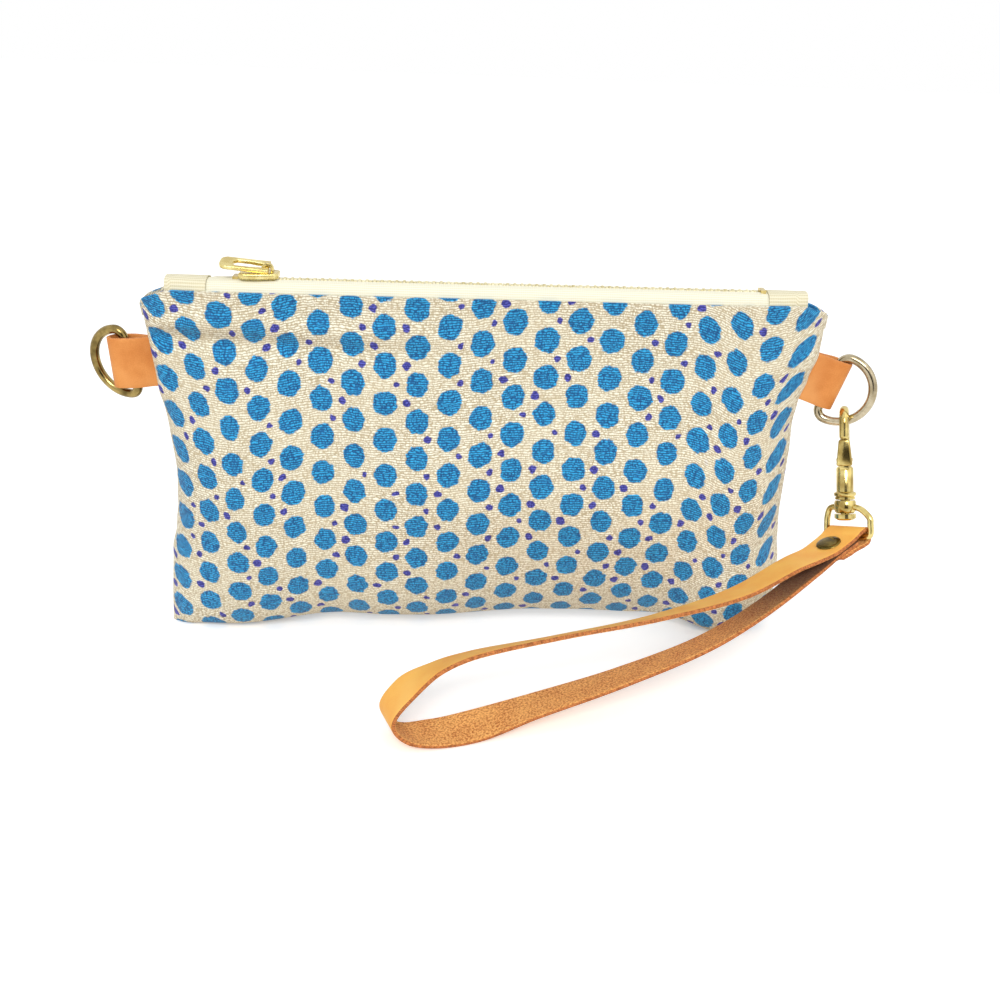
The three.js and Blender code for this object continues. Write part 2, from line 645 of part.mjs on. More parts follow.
function hookBody() {
  const bore = STUD_RADIUS + GAP;
  const barrel = turned([
    [0, -BARREL_TOP],
    [BARREL_RADIUS - 0.4, -BARREL_TOP],
    [BARREL_RADIUS, -BARREL_TOP - 0.6],
    [BARREL_RADIUS, -barrelBottom + 2.2 * COLLAR_HEIGHT],
    [COLLAR_RADIUS, -barrelBottom + 1.9 * COLLAR_HEIGHT],
    [COLLAR_RADIUS, -barrelBottom + COLLAR_HEIGHT],
    [BARREL_RADIUS + GAP, -barrelBottom + 0.8 * COLLAR_HEIGHT],
    [COLLAR_RADIUS - GAP, -barrelBottom + 0.5 * COLLAR_HEIGHT],
    [COLLAR_RADIUS - GAP, -barrelBottom],
    [bore, -barrelBottom],
    [bore, -barrelBottom + STUD_SEAT],
    [0, -barrelBottom + STUD_SEAT],
  ]);
  const lug = plateAcrossX([
    [1, -BARREL_TOP - 1],
    [-GATE_PIN_OFFSET - 1.3, -BARREL_TOP - 1],
    [-GATE_PIN_OFFSET - 1.3, -GATE_PIN_DEPTH],
    [-GATE_PIN_OFFSET - 0.7, -GATE_PIN_DEPTH + 1.2],
    [-GATE_PIN_OFFSET + 0.7, -GATE_PIN_DEPTH + 1.2],
    [1, -GATE_PIN_DEPTH],
  ], HOOK_STRAND);
  const pinHole = rodAlongX(GATE_PIN_RADIUS + GAP, 2 * HOOK_STRAND, -GATE_PIN_OFFSET, -GATE_PIN_DEPTH);
  return cut(join(barrel, hookStrand(), lug), pinHole);
}

// The gate is a folded channel: two cheeks on the pin and a web that closes the hook's mouth.
const cheekOut = HOOK_STRAND / 2 + GAP + GATE_WALL;
const gateFoot = -GATE_PIN_DEPTH - 1.4;
const gateTip = -NOSE_DEPTH - GATE_SWING_PLAY;
const webFoot = -GATE_PIN_OFFSET - 1.3 - 3 * GAP - SPRING_WALL;
const webTip = -HOOK_HALF;

function hookGate() {
  const block = plateAcrossX([
    [-GATE_PIN_OFFSET + 1.2, gateFoot],
    [webFoot - GATE_WALL, gateFoot],
    [webTip - GATE_WALL, gateTip],
    [webTip + GATE_WALL, gateTip],
    [-GATE_PIN_OFFSET + 1.2, -GATE_PIN_DEPTH + 1.4],
  ], 2 * cheekOut);
  const channel = plateAcrossX([
    [4, gateFoot - 1],
    [webFoot, gateFoot - 1],
    [webFoot, gateFoot],
    [webTip, gateTip - 2 * GATE_WALL],
    [4, gateTip - 2 * GATE_WALL],
  ], HOOK_STRAND + 2 * GAP);
  const pinHole = rodAlongX(GATE_PIN_RADIUS + GAP, 3 * cheekOut, -GATE_PIN_OFFSET, -GATE_PIN_DEPTH);
  return cut(block, channel, pinHole);
}

function gateSpring() {
  const clear = 1.5 * GAP;
  const line = [[webFoot + clear, gateFoot + 1], [webFoot + clear - 0.15, gateFoot + 3],
    [webTip + clear + 0.35, gateTip - 2.6]];
  const side = (y, z, x) => vec(x, y, z);
  const grid = (offset) => line.map(([y, z]) => [
    side(y + offset, z, -HOOK_STRAND / 3),
    side(y + offset, z, HOOK_STRAND / 3),
  ]);
  return sheet(grid(0), grid(SPRING_WALL));
}

function swivelStud() {
  const headTop = -barrelBottom - 2 * GAP - BOSS_HEIGHT;
  return turned([
    [0, -barrelBottom + STUD_SEAT - GAP],
    [STUD_RADIUS, -barrelBottom + STUD_SEAT - GAP],
    [STUD_RADIUS, headTop],
    [STUD_HEAD_RADIUS, headTop],
    [STUD_HEAD_RADIUS, headTop - STUD_HEAD_HEIGHT * 0.7],
    [STUD_HEAD_RADIUS * 0.75, headTop - STUD_HEAD_HEIGHT],
    [0, headTop - STUD_HEAD_HEIGHT],
  ]);
}

addPiece(hook, 'hook_body', hookBody(), BRASS, 0.3, 1);
addPiece(hook, 'hook_gate', hookGate(), BRASS, 0.3, 1);
const pinLength = 2 * cheekOut;
addPiece(hook, 'gate_pin', rodAlongX(GATE_PIN_RADIUS, pinLength, -GATE_PIN_OFFSET, -GATE_PIN_DEPTH), BRASS, 0.3, 1);
addPiece(hook, 'gate_spring', gateSpring(), 0x9a9a98, 0.4, 1);
addPiece(hook, 'swivel_stud', swivelStud(), BRASS, 0.3, 1);

// The swivel eye turns on the stud, and its bar carries the strap.
const bossTop = -barrelBottom - GAP;
const eyeBar = bossTop - EYE_LENGTH;
const eyeHalf = STRAP_WIDTH / 2 + SIDE_PLAY + EYE_WIRE / 2;

function swivelEye() {
  const bore = STUD_RADIUS + GAP;
  const boss = turned([
    [bore, bossTop],
    [bore, bossTop - BOSS_HEIGHT],
    [COLLAR_RADIUS - GAP, bossTop - BOSS_HEIGHT],
    [COLLAR_RADIUS, bossTop - BOSS_HEIGHT * 0.7],
    [COLLAR_RADIUS - GAP, bossTop],
    [bore, bossTop],
  ]);
  const legTop = bossTop - BOSS_HEIGHT / 2;
  const pathSide = (sign) => [
    vec(sign * (bore + EYE_WIRE * 0.6), 0, legTop),
    vec(sign * eyeHalf * 0.72, 0, legTop - 0.8),
    vec(sign * eyeHalf * 0.98, 0, legTop - 3.6),
    vec(sign * eyeHalf, 0, eyeBar + 4),
    vec(sign * eyeHalf, 0, eyeBar + EYE_CORNER),
    vec(sign * (eyeHalf - EYE_CORNER * 0.3), 0, eyeBar + EYE_CORNER * 0.3),
    vec(sign * (eyeHalf - EYE_CORNER), 0, eyeBar),
  ];
  const path = new THREE.CatmullRomCurve3([...pathSide(-1), ...pathSide(1).reverse()]);
  return join(boss, wire(path, EYE_WIRE, 8, 48));
}

const eye = new THREE.Group();
eye.rotation.z = -radians(EYE_TURN);
hook.add(eye);
addPiece(eye, 'swivel_eye', swivelEye(), BRASS, 0.3, 1);

// The strap's own frame is on the eye bar: its width lies along X, and it leaves the bar along -Z.
const strapRoot = new THREE.Group();
strapRoot.position.z = eyeBar;
strapRoot.rotation.x = -radians(STRAP_SWING);
eye.add(strapRoot);
part.updateMatrixWorld(true);

// The layers lie as far apart as the leather and the fold round the bar need.
const layerStep = Math.max(STRAP_LEATHER + GAP, (STRAP_LEATHER + EYE_WIRE) / 2 + GAP);
const barCentre = strapRoot.localToWorld(vec(0, 0, 0));
const strapAcross = vec(1, 0, 0).transformDirection(strapRoot.matrixWorld);
const strapOut = vec(0, 0, -1).transformDirection(strapRoot.matrixWorld);
const strapUp = vec().crossVectors(strapOut, strapAcross).normalize();
const strapLead = strapOut.clone().addScaledVector(strapAcross, -STRAP_SKEW).normalize();

const inStack = (along, layer) => barCentre.clone()
  .addScaledVector(strapLead, along)
  .addScaledVector(strapUp, layer * layerStep);

// The free loop, from the stack of layers out along the lower run, round the bend and back above it.
// Each station is a place from the eye bar, in shares of the loop's reach, and the direction of the
// strap's width there.
const LOOP = [
  [vec(-0.1399, -0.096, -0.0773), vec(0.61, -0.69, 0.39)],
  [vec(-0.3142, -0.1671, -0.1595), vec(0.5, -0.77, 0.4)],
  [vec(-0.5162, -0.2268, -0.2188), vec(0.32, -0.9, 0.29)],
  [vec(-0.7049, -0.2689, -0.2683), vec(0.23, -0.97, 0.12)],
  [vec(-0.8235, -0.2928, -0.2928), vec(0.25, -0.97, -0.03)],
  [vec(-0.9077, -0.3145, -0.2988), vec(0.37, -0.93, -0.02)],
  [vec(-0.9709, -0.3255, -0.2931), vec(0.52, -0.85, 0.09)],
  [vec(-0.9982, -0.3181, -0.2566), vec(0.54, -0.84, 0.1)],
  [vec(-0.9722, -0.3039, -0.2051), vec(0.4, -0.89, 0.2)],
  [vec(-0.9079, -0.2897, -0.1595), vec(0.19, -0.89, 0.4)],
  [vec(-0.8401, -0.2715, -0.139), vec(0.11, -0.85, 0.51)],
  [vec(-0.6561, -0.2246, -0.1266), vec(0.13, -0.86, 0.49)],
  [vec(-0.4432, -0.1679, -0.1094), vec(0.21, -0.88, 0.43)],
  [vec(-0.2532, -0.1106, -0.0818), vec(0.34, -0.85, 0.39)],
  [vec(-0.1403, -0.0733, -0.039), vec(0.52, -0.78, 0.36)],
];

function strapStations() {
  const inner = layerStep * 1.6;
  const stations = [inner, RIVET_FROM_BAR, STACK_LENGTH].map((s) => [inStack(s, 0), strapAcross]);
  for (const [place, across] of LOOP) {
    stations.push([barCentre.clone().addScaledVector(place, STRAP_REACH), across.clone().normalize()]);
  }
  for (const s of [STACK_LENGTH, RIVET_FROM_BAR, layerStep]) {
    stations.push([inStack(s, 1), strapAcross]);
  }
  const places = new THREE.CatmullRomCurve3(stations.map(([place]) => place));
  const widths = new THREE.CatmullRomCurve3(stations.map(([, across]) => across));
  const samples = 3 * (stations.length - 1);
  const line = [];
  for (let i = 0; i <= samples; i++) {
    line.push([places.getPoint(i / samples), widths.getPoint(i / samples).normalize()]);
  }
  const foldSteps = 8;
  for (let i = 0; i <= foldSteps; i++) {
    const angle = (Math.PI * i) / foldSteps;
    const place = barCentre.clone()
      .addScaledVector(strapUp, layerStep * Math.cos(angle))
      .addScaledVector(strapOut, -layerStep * Math.sin(angle));
    line.push([place, strapAcross]);
  }
  for (const s of [RIVET_FROM_BAR * 0.5, RIVET_FROM_BAR, STACK_LENGTH - STRAP_LEATHER]) {
    line.push([inStack(s, -1), strapAcross]);
  }
  return line;
}

function strapGeometry() {
  const line = strapStations();
  const grid = (offset) => line.map(([place, across], i) => {
    const before = line[Math.max(i - 1, 0)][0];
    const after = line[Math.min(i + 1, line.length - 1)][0];
    const along = after.clone().sub(before);
    const normal = along.cross(across).normalize();
    const centre = place.clone().addScaledVector(normal, offset);
    return [-STRAP_WIDTH / 2, STRAP_WIDTH / 2].map((w) => centre.clone().addScaledVector(across, w));
  });
  return sheet(grid(-STRAP_LEATHER / 2), grid(STRAP_LEATHER / 2));
}

// The rivet's frame: Z is square to the stacked layers.
const rivetPlace = inStack(RIVET_FROM_BAR, 0);
const rivetFrame = new THREE.Matrix4().makeBasis(strapOut.clone().negate(), strapAcross.clone().negate(), strapUp);
rivetFrame.setPosition(rivetPlace);
const stackTop = layerStep + STRAP_LEATHER / 2;
const postHole = new THREE.CylinderGeometry(RIVET_POST_RADIUS + GAP, RIVET_POST_RADIUS + GAP, 4 * stackTop, 16);
postHole.rotateX(Math.PI / 2).applyMatrix4(rivetFrame);
addPiece(part, 'wrist_strap', cut(strapGeometry(), postHole), STRAP, 0.6);

function rivetCap() {
  const under = stackTop + GAP;
  return turned([
    [0, -stackTop],
    [RIVET_POST_RADIUS, -stackTop],
    [RIVET_POST_RADIUS, under],
    [RIVET_CAP_RADIUS, under],
    [RIVET_CAP_RADIUS * 0.92, under + RIVET_CAP_HEIGHT * 0.45],
    [RIVET_CAP_RADIUS * 0.6, under + RIVET_CAP_HEIGHT * 0.85],
    [0, under + RIVET_CAP_HEIGHT],
  ]);
}

function rivetBase() {
  const top = -stackTop - GAP;
  return turned([
    [0, top],
    [0, top - RIVET_CAP_HEIGHT * 0.8],
    [RIVET_CAP_RADIUS * 0.8, top - RIVET_CAP_HEIGHT * 0.8],
    [RIVET_CAP_RADIUS, top - RIVET_CAP_HEIGHT * 0.3],
    [RIVET_CAP_RADIUS, top],
    [0, top],
  ]);
}

const rivet = new THREE.Group();
rivet.applyMatrix4(rivetFrame);
part.add(rivet);
addPiece(rivet, 'rivet_cap', rivetCap(), BRASS, 0.3, 1);
addPiece(rivet, 'rivet_base', rivetBase(), BRASS, 0.3, 1);

export default part;
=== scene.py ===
import math

import bpy
from mathutils import Matrix, Vector, noise

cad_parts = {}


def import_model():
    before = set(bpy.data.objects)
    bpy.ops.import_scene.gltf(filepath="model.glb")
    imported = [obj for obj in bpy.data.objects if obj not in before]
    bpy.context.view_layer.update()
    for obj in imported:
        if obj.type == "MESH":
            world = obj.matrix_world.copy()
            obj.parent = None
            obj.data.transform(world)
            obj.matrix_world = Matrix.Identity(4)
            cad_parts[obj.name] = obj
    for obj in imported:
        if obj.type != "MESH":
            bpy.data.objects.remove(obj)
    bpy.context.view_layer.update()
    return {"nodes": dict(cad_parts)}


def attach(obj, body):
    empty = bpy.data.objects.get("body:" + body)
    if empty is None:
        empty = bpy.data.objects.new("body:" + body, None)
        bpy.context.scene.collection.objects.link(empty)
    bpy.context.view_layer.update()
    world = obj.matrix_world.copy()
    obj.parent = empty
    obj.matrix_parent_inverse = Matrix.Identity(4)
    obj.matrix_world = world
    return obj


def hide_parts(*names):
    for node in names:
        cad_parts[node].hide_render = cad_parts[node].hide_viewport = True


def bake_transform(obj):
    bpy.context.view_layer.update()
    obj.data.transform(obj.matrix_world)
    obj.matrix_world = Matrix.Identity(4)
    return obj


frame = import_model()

# Sizes in millimetres, most of them the same as in the solids.
MM = 0.001
GAP = 0.3
HALF_WIDTH = 102.5
PANEL_HEIGHT = 114.8
BELLY_HALF = 15
BELLY_HEIGHT = 45
MOUTH_HALF = 7
BASE_HALF = 1.8
FOOT_HALF = 4.5
BASE_LIFT = 6.4
UNDERSIDE_RISE = 5
PANEL_WALL = 1.2
CANVAS_CLOTH = 0.55
LINING_CLOTH = 0.35
LEFT_PULL_IN = 4
RIGHT_PULL_IN = 1.5
LEFT_CORNER_DROP = 5.6
RIGHT_CORNER_DROP = 3.2
CORNER_SPAN = 12
LEFT_CORNER_RISE = 1.3
LEFT_FOOT_RISE = 1.1
RIGHT_FOOT_RISE = 4.5
LINING_INSET = 8
RIDGE_RISE = 3
RIDGE = PANEL_HEIGHT + RIDGE_RISE
TAPE_WALL = 0.7
TAPE_TUCK = 6
TAPE_CLOTH = 0.5
TAPE_EDGE = 1.25
BARE_TAPE_EDGE = 0.35
COVERED_DIP = 0.35
TAPE_LEFT = -94.2
TAPE_RIGHT = 96.7
TOOTH_PITCH = 2.2
TOOTH_HEIGHT = 1.25
CHAIN_LEFT = -70.4
CHAIN_MIDDLE = 4.4
CHAIN_RIGHT = 82
ZIP_END_LENGTH = 12.2
ZIP_END_CLOTH = 0.4
LEFT_END = TAPE_LEFT + ZIP_END_LENGTH
RIGHT_END = TAPE_RIGHT - ZIP_END_LENGTH
SLIDER_NOSE = -72.7
SLIDER_LENGTH = 11.5
PLATE_TOP = 119.9
PULL_PIVOT = (-64.5, 0, 120.8)
PULL_RISE = 0.35
PULL_TILT = 5
PULL_ROLL = 14
TAB_HEIGHT = 15.5
TAB_LEATHER = 1.3
TAB_INSET = 4.5
TAB_LEVEL = PANEL_HEIGHT - 22.9
TAB_SLOT = 6.5
LEFT_TAB_REACH = 13.4
RIGHT_TAB_REACH = 11.7
LEFT_TAB_DROOP = 2.1
RIGHT_TAB_DROOP = 16.6
LEFT_SLACK = 3
RIGHT_SLACK = 0.8
RING_WIRE = 2.8
RING_RADIUS = 10.3
RING_CORNER = 3
HOOK_ON_RING = -54
HOOK_LEAN = 21.3
HOOK_TILT = 3.1
HOOK_TURN = -23
HOOK_HALF = 4.4
HOOK_STRAND = 2.9
ARCH_TOP = 3.45
NOSE_DEPTH = 5.3
SHANK_DEPTH = 9.5
BARREL_TOP = 14.3
BARREL_BOTTOM = 24.8
BARREL_RADIUS = 2.6
COLLAR_RADIUS = 3.4
STUD_RADIUS = 1.3
STUD_SEAT = 5.5
BOSS_HEIGHT = 4
EYE_WIRE = 1.8
EYE_BAR = -36.7
FOLD_RISE = 0.35
FOLD_RADIUS = 2.35
FOLD_ASIDE = 1.1
EYE_HALF = 7.45
EYE_TURN = 28
STRAP_WIDTH = 12.7
STRAP_LEATHER = 1.5
STRAP_SKIN = 1.3
STRAP_SWING = 73
FOLD_SWING = 64
STRAP_SKEW = 0.25
RIVET_FROM_BAR = 8.6
STACK_LENGTH = 13
RIVET_RADIUS = 3.8
RIVET_HEIGHT = 0.8
UPPER_SPACE = 0.12
TAIL_SPACE = 0.45
FOLD_STEPS = 16


def linear(red, green, blue):
    """A colour as seen on screen, 0 to 255, as the shader's own values."""
    def one(level):
        level /= 255
        return level / 12.92 if level < 0.04045 else ((level + 0.055) / 1.055) ** 2.4
    return (one(red), one(green), one(blue), 1)


class Wire:
    """A value in a material: sums on it add Math nodes."""

    def __init__(self, paint, socket):
        self.paint = paint
        self.socket = socket

    def sum(self, operation, *values):
        return self.paint.node("ShaderNodeMath", {"operation": operation}, values)

    def __add__(self, other):
        return self.sum("ADD", self, other)

    def __sub__(self, other):
        return self.sum("SUBTRACT", self, other)

    def __rsub__(self, other):
        return self.sum("SUBTRACT", other, self)

    def __mul__(self, other):
        return self.sum("MULTIPLY", self, other)

    def __truediv__(self, other):
        return self.sum("DIVIDE", self, other)

    def __pow__(self, other):
        return self.sum("POWER", self, other)

    __radd__ = __add__
    __rmul__ = __mul__

    def floor(self):
        return self.sum("FLOOR", self)

    def sine(self):
        return self.sum("SINE", self)

    def size(self):
        return self.sum("ABSOLUTE", self)

    def step(self, low, high):
        """0 below low and 1 above high, with a soft edge between."""
        return self.paint.node(
            "ShaderNodeMapRange", {"interpolation_type": "SMOOTHSTEP"}, (self, low, high, 0.0, 1.0)
        )


class Paint:
    """A material with one Principled shader."""

    def __init__(self, name):
        self.material = bpy.data.materials.new(name)
        self.material.use_nodes = True
        self.tree = self.material.node_tree
        self.shader = self.tree.nodes["Principled BSDF"]

    def node(self, kind, settings, inputs, output=0):
        made = self.tree.nodes.new(kind)
        for key, value in settings.items():
            setattr(made, key, value)
        pairs = inputs.items() if isinstance(inputs, dict) else enumerate(inputs)
        for key, value in pairs:
            self.feed(made.inputs[key], value)
        return Wire(self, made.outputs[output])

    def feed(self, socket, value):
        if isinstance(value, Wire):
            self.tree.links.new(value.socket, socket)
        else:
            socket.default_value = value

    def set(self, **sockets):
        for key, value in sockets.items():
            self.feed(self.shader.inputs[key.replace("_", " ")], value)

    def place(self):
        """Where a point lies on the piece, in metres in the object's frame."""
        return self.node("ShaderNodeTexCoord", {}, (), 3)

    def lie(self):
        """Where a point lies on the cloth or leather as it was cut, in millimetres."""
        return self.node("ShaderNodeAttribute", {"attribute_name": "lie"}, (), 1)

    def parts(self, vector):
        return [self.node("ShaderNodeSeparateXYZ", {}, (vector,), i) for i in range(3)]

    def vector(self, x, y, z):
        return self.node("ShaderNodeCombineXYZ", {}, (x, y, z))

    def stretch(self, vector, scale):
        return self.node("ShaderNodeVectorMath", {"operation": "MULTIPLY"}, (vector, scale))

    def noise(self, vector, scale=1.0, detail=2.0, rough=0.5):
        sockets = {"Vector": vector, "Scale": scale, "Detail": detail, "Roughness": rough}
        return self.node("ShaderNodeTexNoise", {}, sockets)

    def chance(self, vector):
        """A random number for each whole-numbered place."""
        return self.node("ShaderNodeTexWhiteNoise", {"noise_dimensions": "3D"}, (vector,))

    def mix(self, share, one, two):
        return self.node("ShaderNodeMix", {"data_type": "RGBA"}, {0: share, 6: one, 7: two}, 2)

    def bump(self, height, depth, strength=1.0):
        sockets = {"Height": height, "Distance": depth, "Strength": strength}
        self.set(Normal=self.node("ShaderNodeBump", {}, sockets))


def weave(paint, lie, pitch):
    """The height of a crinkled plain weave: wavering threads, each in short slubs of its own."""
    x, z, _ = paint.parts(lie)
    waver = paint.noise(paint.stretch(lie, (0.16, 0.22, 0)), detail=1.0)
    shiver = paint.noise(paint.stretch(lie, (0.7, 0.8, 0)), detail=1.0)
    line = z / pitch + waver * 1.6 + shiver * 1.1
    row = line.floor()
    hump = ((line - row) * math.pi).sine()
    slub = paint.noise(paint.vector(x * 1.5 + row * 7.3, row * 3.1, 0.0), detail=2.0, rough=0.6)
    return hump * (0.2 + slub.step(0.3, 0.7) * 0.8)


def canvas_paint():
    """Natural canvas block-printed with round spots in a half-drop, and pin dots between them."""
    paint = Paint("printed_canvas")
    lie = paint.lie()
    height = weave(paint, lie, 0.74)
    x, z, _ = paint.parts(lie)
    shade = paint.noise(lie, 0.03, 2.0)
    pale = paint.mix(height.step(0.05, 0.8), linear(182, 167, 134), linear(255, 254, 237))
    cloth = paint.mix(shade.step(0.35, 0.7) * 0.3, pale, linear(232, 223, 195))

    across, drop = 9.7, 11.4
    blur = paint.noise(lie, 0.42, 2.0) - 0.5
    drift = paint.noise(paint.vector(x, z, 40.0), 0.42, 2.0) - 0.5
    sx = (x + blur * 1.9) / across
    column = sx.floor()
    half_drop = (column * math.pi / 2).sine().size() * 0.5
    sz = (z + drift * 1.9) / drop + half_drop
    row = sz.floor()
    cell = paint.vector(column, row, 0.0)
    luck = paint.chance(cell)
    dx = (sx - column - 0.5) * across
    dz = (sz - row - 0.5) * drop * (0.86 + luck * 0.12)
    reach = (dx * dx + dz * dz) ** 0.5
    edge = 3.35 + luck * 0.55 + (height - 0.5) * 0.25
    spot = 1 - (reach - edge).step(-0.22, 0.22)
    blue = paint.mix(height.step(0.05, 0.85), linear(0, 74, 130), linear(48, 175, 236))
    patchy = paint.noise(lie, 0.3, 3.0)
    blue = paint.mix(patchy.step(0.5, 0.75) * 0.35, blue, linear(24, 112, 180))

    between = sz + 0.5
    pin_row = between.floor()
    some = paint.chance(paint.vector(column, pin_row, 9.0))
    aside = some.step(0.6, 0.61) * 0.66 - 0.33
    pin_x = (sx - column - 0.5 - aside) * across
    pin_z = (between - pin_row - 0.5) * drop
    pins = (pin_x * pin_x + pin_z * pin_z) ** 0.5
    pin = (1 - (pins - 0.75 - some * 0.6).step(-0.2, 0.2)) * some.step(0.2, 0.21)
    violet = paint.mix(height.step(0.05, 0.85), linear(36, 38, 122), linear(92, 96, 200))
    printed = paint.mix(spot, paint.mix(pin, cloth, violet), blue)
    paint.set(Base_Color=printed, Roughness=0.88)
    paint.shader.inputs["Sheen Weight"].default_value = 0.15
    paint.bump(height, 0.00022, 0.75)
    return paint.material


def lining_paint():
    paint = Paint("cotton_lining")
    lie = paint.lie()
    height = weave(paint, lie, 0.5)
    cloth = paint.mix(height.step(0.1, 1.0), linear(214, 203, 172), linear(244, 237, 214))
    paint.set(Base_Color=cloth, Roughness=0.9)
    paint.bump(height, 0.0001, 0.6)
    return paint.material


def tape_paint(name, rib, depth, deep, fair):
    """Cream zip tape, woven in fine ribs along its length."""
    paint = Paint(name)
    lie = paint.lie()
    x, z, _ = paint.parts(lie)
    waver = paint.noise(paint.stretch(lie, (0.2, 0.5, 0)), detail=1.0)
    ribs = ((z + waver * 0.25) * (2 * math.pi / rib)).sine() * 0.5 + 0.5
    picks = ((x + waver * 0.2) * (2 * math.pi / 0.55)).sine() * 0.5 + 0.5
    height = ribs * 0.7 + picks * 0.3
    cloth = paint.mix(height.step(0.1, 0.8), deep, fair)
    paint.set(Base_Color=cloth, Roughness=0.85)
    paint.bump(height, depth, 0.7)
    return paint.material


def leather_paint(name, deep, fair, rub):
    """Smooth vegetable-tanned leather: fine grain, soft clouds of tone, and rubbed paler patches."""
    paint = Paint(name)
    lie = paint.lie()
    clouds = paint.noise(lie, 0.09, 3.0, 0.55)
    grain = paint.noise(lie, 2.6, 3.0, 0.6)
    cells = paint.node("ShaderNodeTexVoronoi", {}, {"Vector": lie, "Scale": 1.7})
    tone = clouds.step(0.3, 0.7) * 0.7 + grain.step(0.3, 0.7) * 0.3
    colour = paint.mix(tone, deep, fair)
    worn = paint.noise(lie, 0.05, 2.0)
    colour = paint.mix(worn.step(0.5, 0.72) * 0.55, colour, rub)
    height = grain * 0.6 + cells.step(0.0, 0.5) * 0.4
    paint.set(Base_Color=colour, Roughness=0.42 + grain * 0.22)
    paint.shader.inputs["Specular IOR Level"].default_value = 0.3
    paint.bump(height, 0.00008, 0.6)
    return paint.material


def suede_paint():
    """The flesh side of the strap: short matted fibres, darkened by painted shade over the stretch nearest
    the hook, where the layers shade each other.
    """
    paint = Paint("strap_flesh_side")
    lie = paint.lie()
    run, _, _ = paint.parts(lie)
    fibre = paint.noise(lie, 1.5, 3.0, 0.65)
    clouds = paint.noise(lie, 0.16, 3.0)
    tone = fibre.step(0.36, 0.62) * 0.8 + clouds.step(0.3, 0.7) * 0.2
    colour = paint.mix(tone, linear(178, 98, 42), linear(255, 196, 114))
    # Painted shade: over its first 10 to 62 mm from the end at the hook, the flesh side turns almost
    # black-brown. This stands in for the shadow between the strap's layers there.
    painted_shade_near_hook = (1 - run.step(10, 62)) * 0.92
    colour = paint.mix(painted_shade_near_hook, colour, linear(64, 30, 12))
    paint.set(Base_Color=colour, Roughness=0.95)
    paint.shader.inputs["Sheen Weight"].default_value = 0.06
    paint.bump(fibre, 0.00035, 0.9)
    return paint.material


def raw_edge_paint(name, deep, fair):
    """Cut leather edge: dark, with the layers of fibre showing."""
    paint = Paint(name)
    lie = paint.lie()
    place = paint.place()
    layers = paint.noise(paint.stretch(place, (900, 900, 2600)), 1.0, 3.0, 0.65)
    nicks = paint.noise(lie, 3.2, 2.0, 0.6)
    tone = layers.step(0.3, 0.7) * 0.6 + nicks.step(0.35, 0.65) * 0.4
    paint.set(Base_Color=paint.mix(tone, deep, fair), Roughness=0.85)
    paint.bump(layers + nicks, 0.00025, 0.8)
    return paint.material


def metal_paint(name, dull, bright, rough):
    """Polished cast metal: a little tarnish in clouds, fine hairlines and small knocks."""
    paint = Paint(name)
    place = paint.place()
    tarnish = paint.noise(place, 210.0, 3.0, 0.55)
    hair = paint.noise(paint.stretch(place, (2600, 500, 900)), 1.0, 2.0)
    knocks = paint.noise(place, 420.0, 1.0)
    colour = paint.mix(tarnish.step(0.3, 0.75), dull, bright)
    paint.set(Base_Color=colour, Metallic=1.0, Roughness=rough + tarnish * 0.1 + hair * 0.05)
    paint.bump(hair * 0.2 + knocks, 0.00003, 0.4)
    return paint.material


CANVAS = canvas_paint()
COTTON = lining_paint()
TAPE = tape_paint("zip_tape_cloth", 0.7, 0.00004, linear(228, 224, 198), linear(240, 238, 220))
RIBBED_TAPE = tape_paint("ribbed_zip_end", 1.0, 0.00014, linear(214, 206, 172), linear(236, 230, 204))
TAB_GRAIN = leather_paint("tab_grain", linear(204, 124, 58), linear(231, 157, 87), linear(238, 172, 106))
TAB_EDGE = raw_edge_paint("tab_raw_edge", linear(178, 98, 46), linear(244, 172, 106))
STRAP_GRAIN = leather_paint("strap_grain", linear(250, 173, 76), linear(255, 198, 99), linear(255, 208, 116))
STRAP_FLESH = suede_paint()
STRAP_EDGE = raw_edge_paint("strap_raw_edge", linear(128, 68, 30), linear(226, 142, 78))
TOOTH_BRASS = metal_paint("tooth_brass", linear(214, 200, 144), linear(252, 244, 206), 0.24)
ZIP_BRASS = metal_paint("pale_zip_brass", linear(206, 184, 112), linear(246, 232, 168), 0.2)
BRASS = metal_paint("polished_brass", linear(168, 142, 78), linear(232, 212, 140), 0.1)
OLD_BRASS = metal_paint("mellow_brass", linear(104, 88, 50), linear(178, 154, 94), 0.12)
NICKELLED = metal_paint("worn_ring_metal", linear(150, 134, 102), linear(212, 200, 172), 0.1)
DARK_BRASS = metal_paint("darkened_brass", linear(78, 64, 28), linear(146, 124, 64), 0.14)
STEEL = metal_paint("spring_steel", linear(120, 120, 118), linear(190, 190, 186), 0.28)


# Modelling helpers: shapes are made in millimetres and settled into metres at the end.
def clear_selection():
    bpy.ops.object.select_all(action="DESELECT")


def pick(piece):
    clear_selection()
    piece.select_set(True)
    bpy.context.view_layer.objects.active = piece


def named(name):
    piece = bpy.context.object
    piece.name = name
    piece.data.name = name
    return piece


def open_mesh(piece):
    pick(piece)
    bpy.ops.object.mode_set(mode="EDIT")
    bpy.ops.mesh.select_all(action="SELECT")


def close_mesh():
    bpy.ops.object.mode_set(mode="OBJECT")


def close_up(piece):
    """Merge doubles and turn every face of a closed form outwards."""
    open_mesh(piece)
    bpy.ops.mesh.remove_doubles(threshold=0.0005)
    bpy.ops.mesh.dissolve_degenerate(threshold=0.0005)
    bpy.ops.mesh.select_all(action="SELECT")
    bpy.ops.mesh.normals_make_consistent(inside=False)
    close_mesh()
    return piece


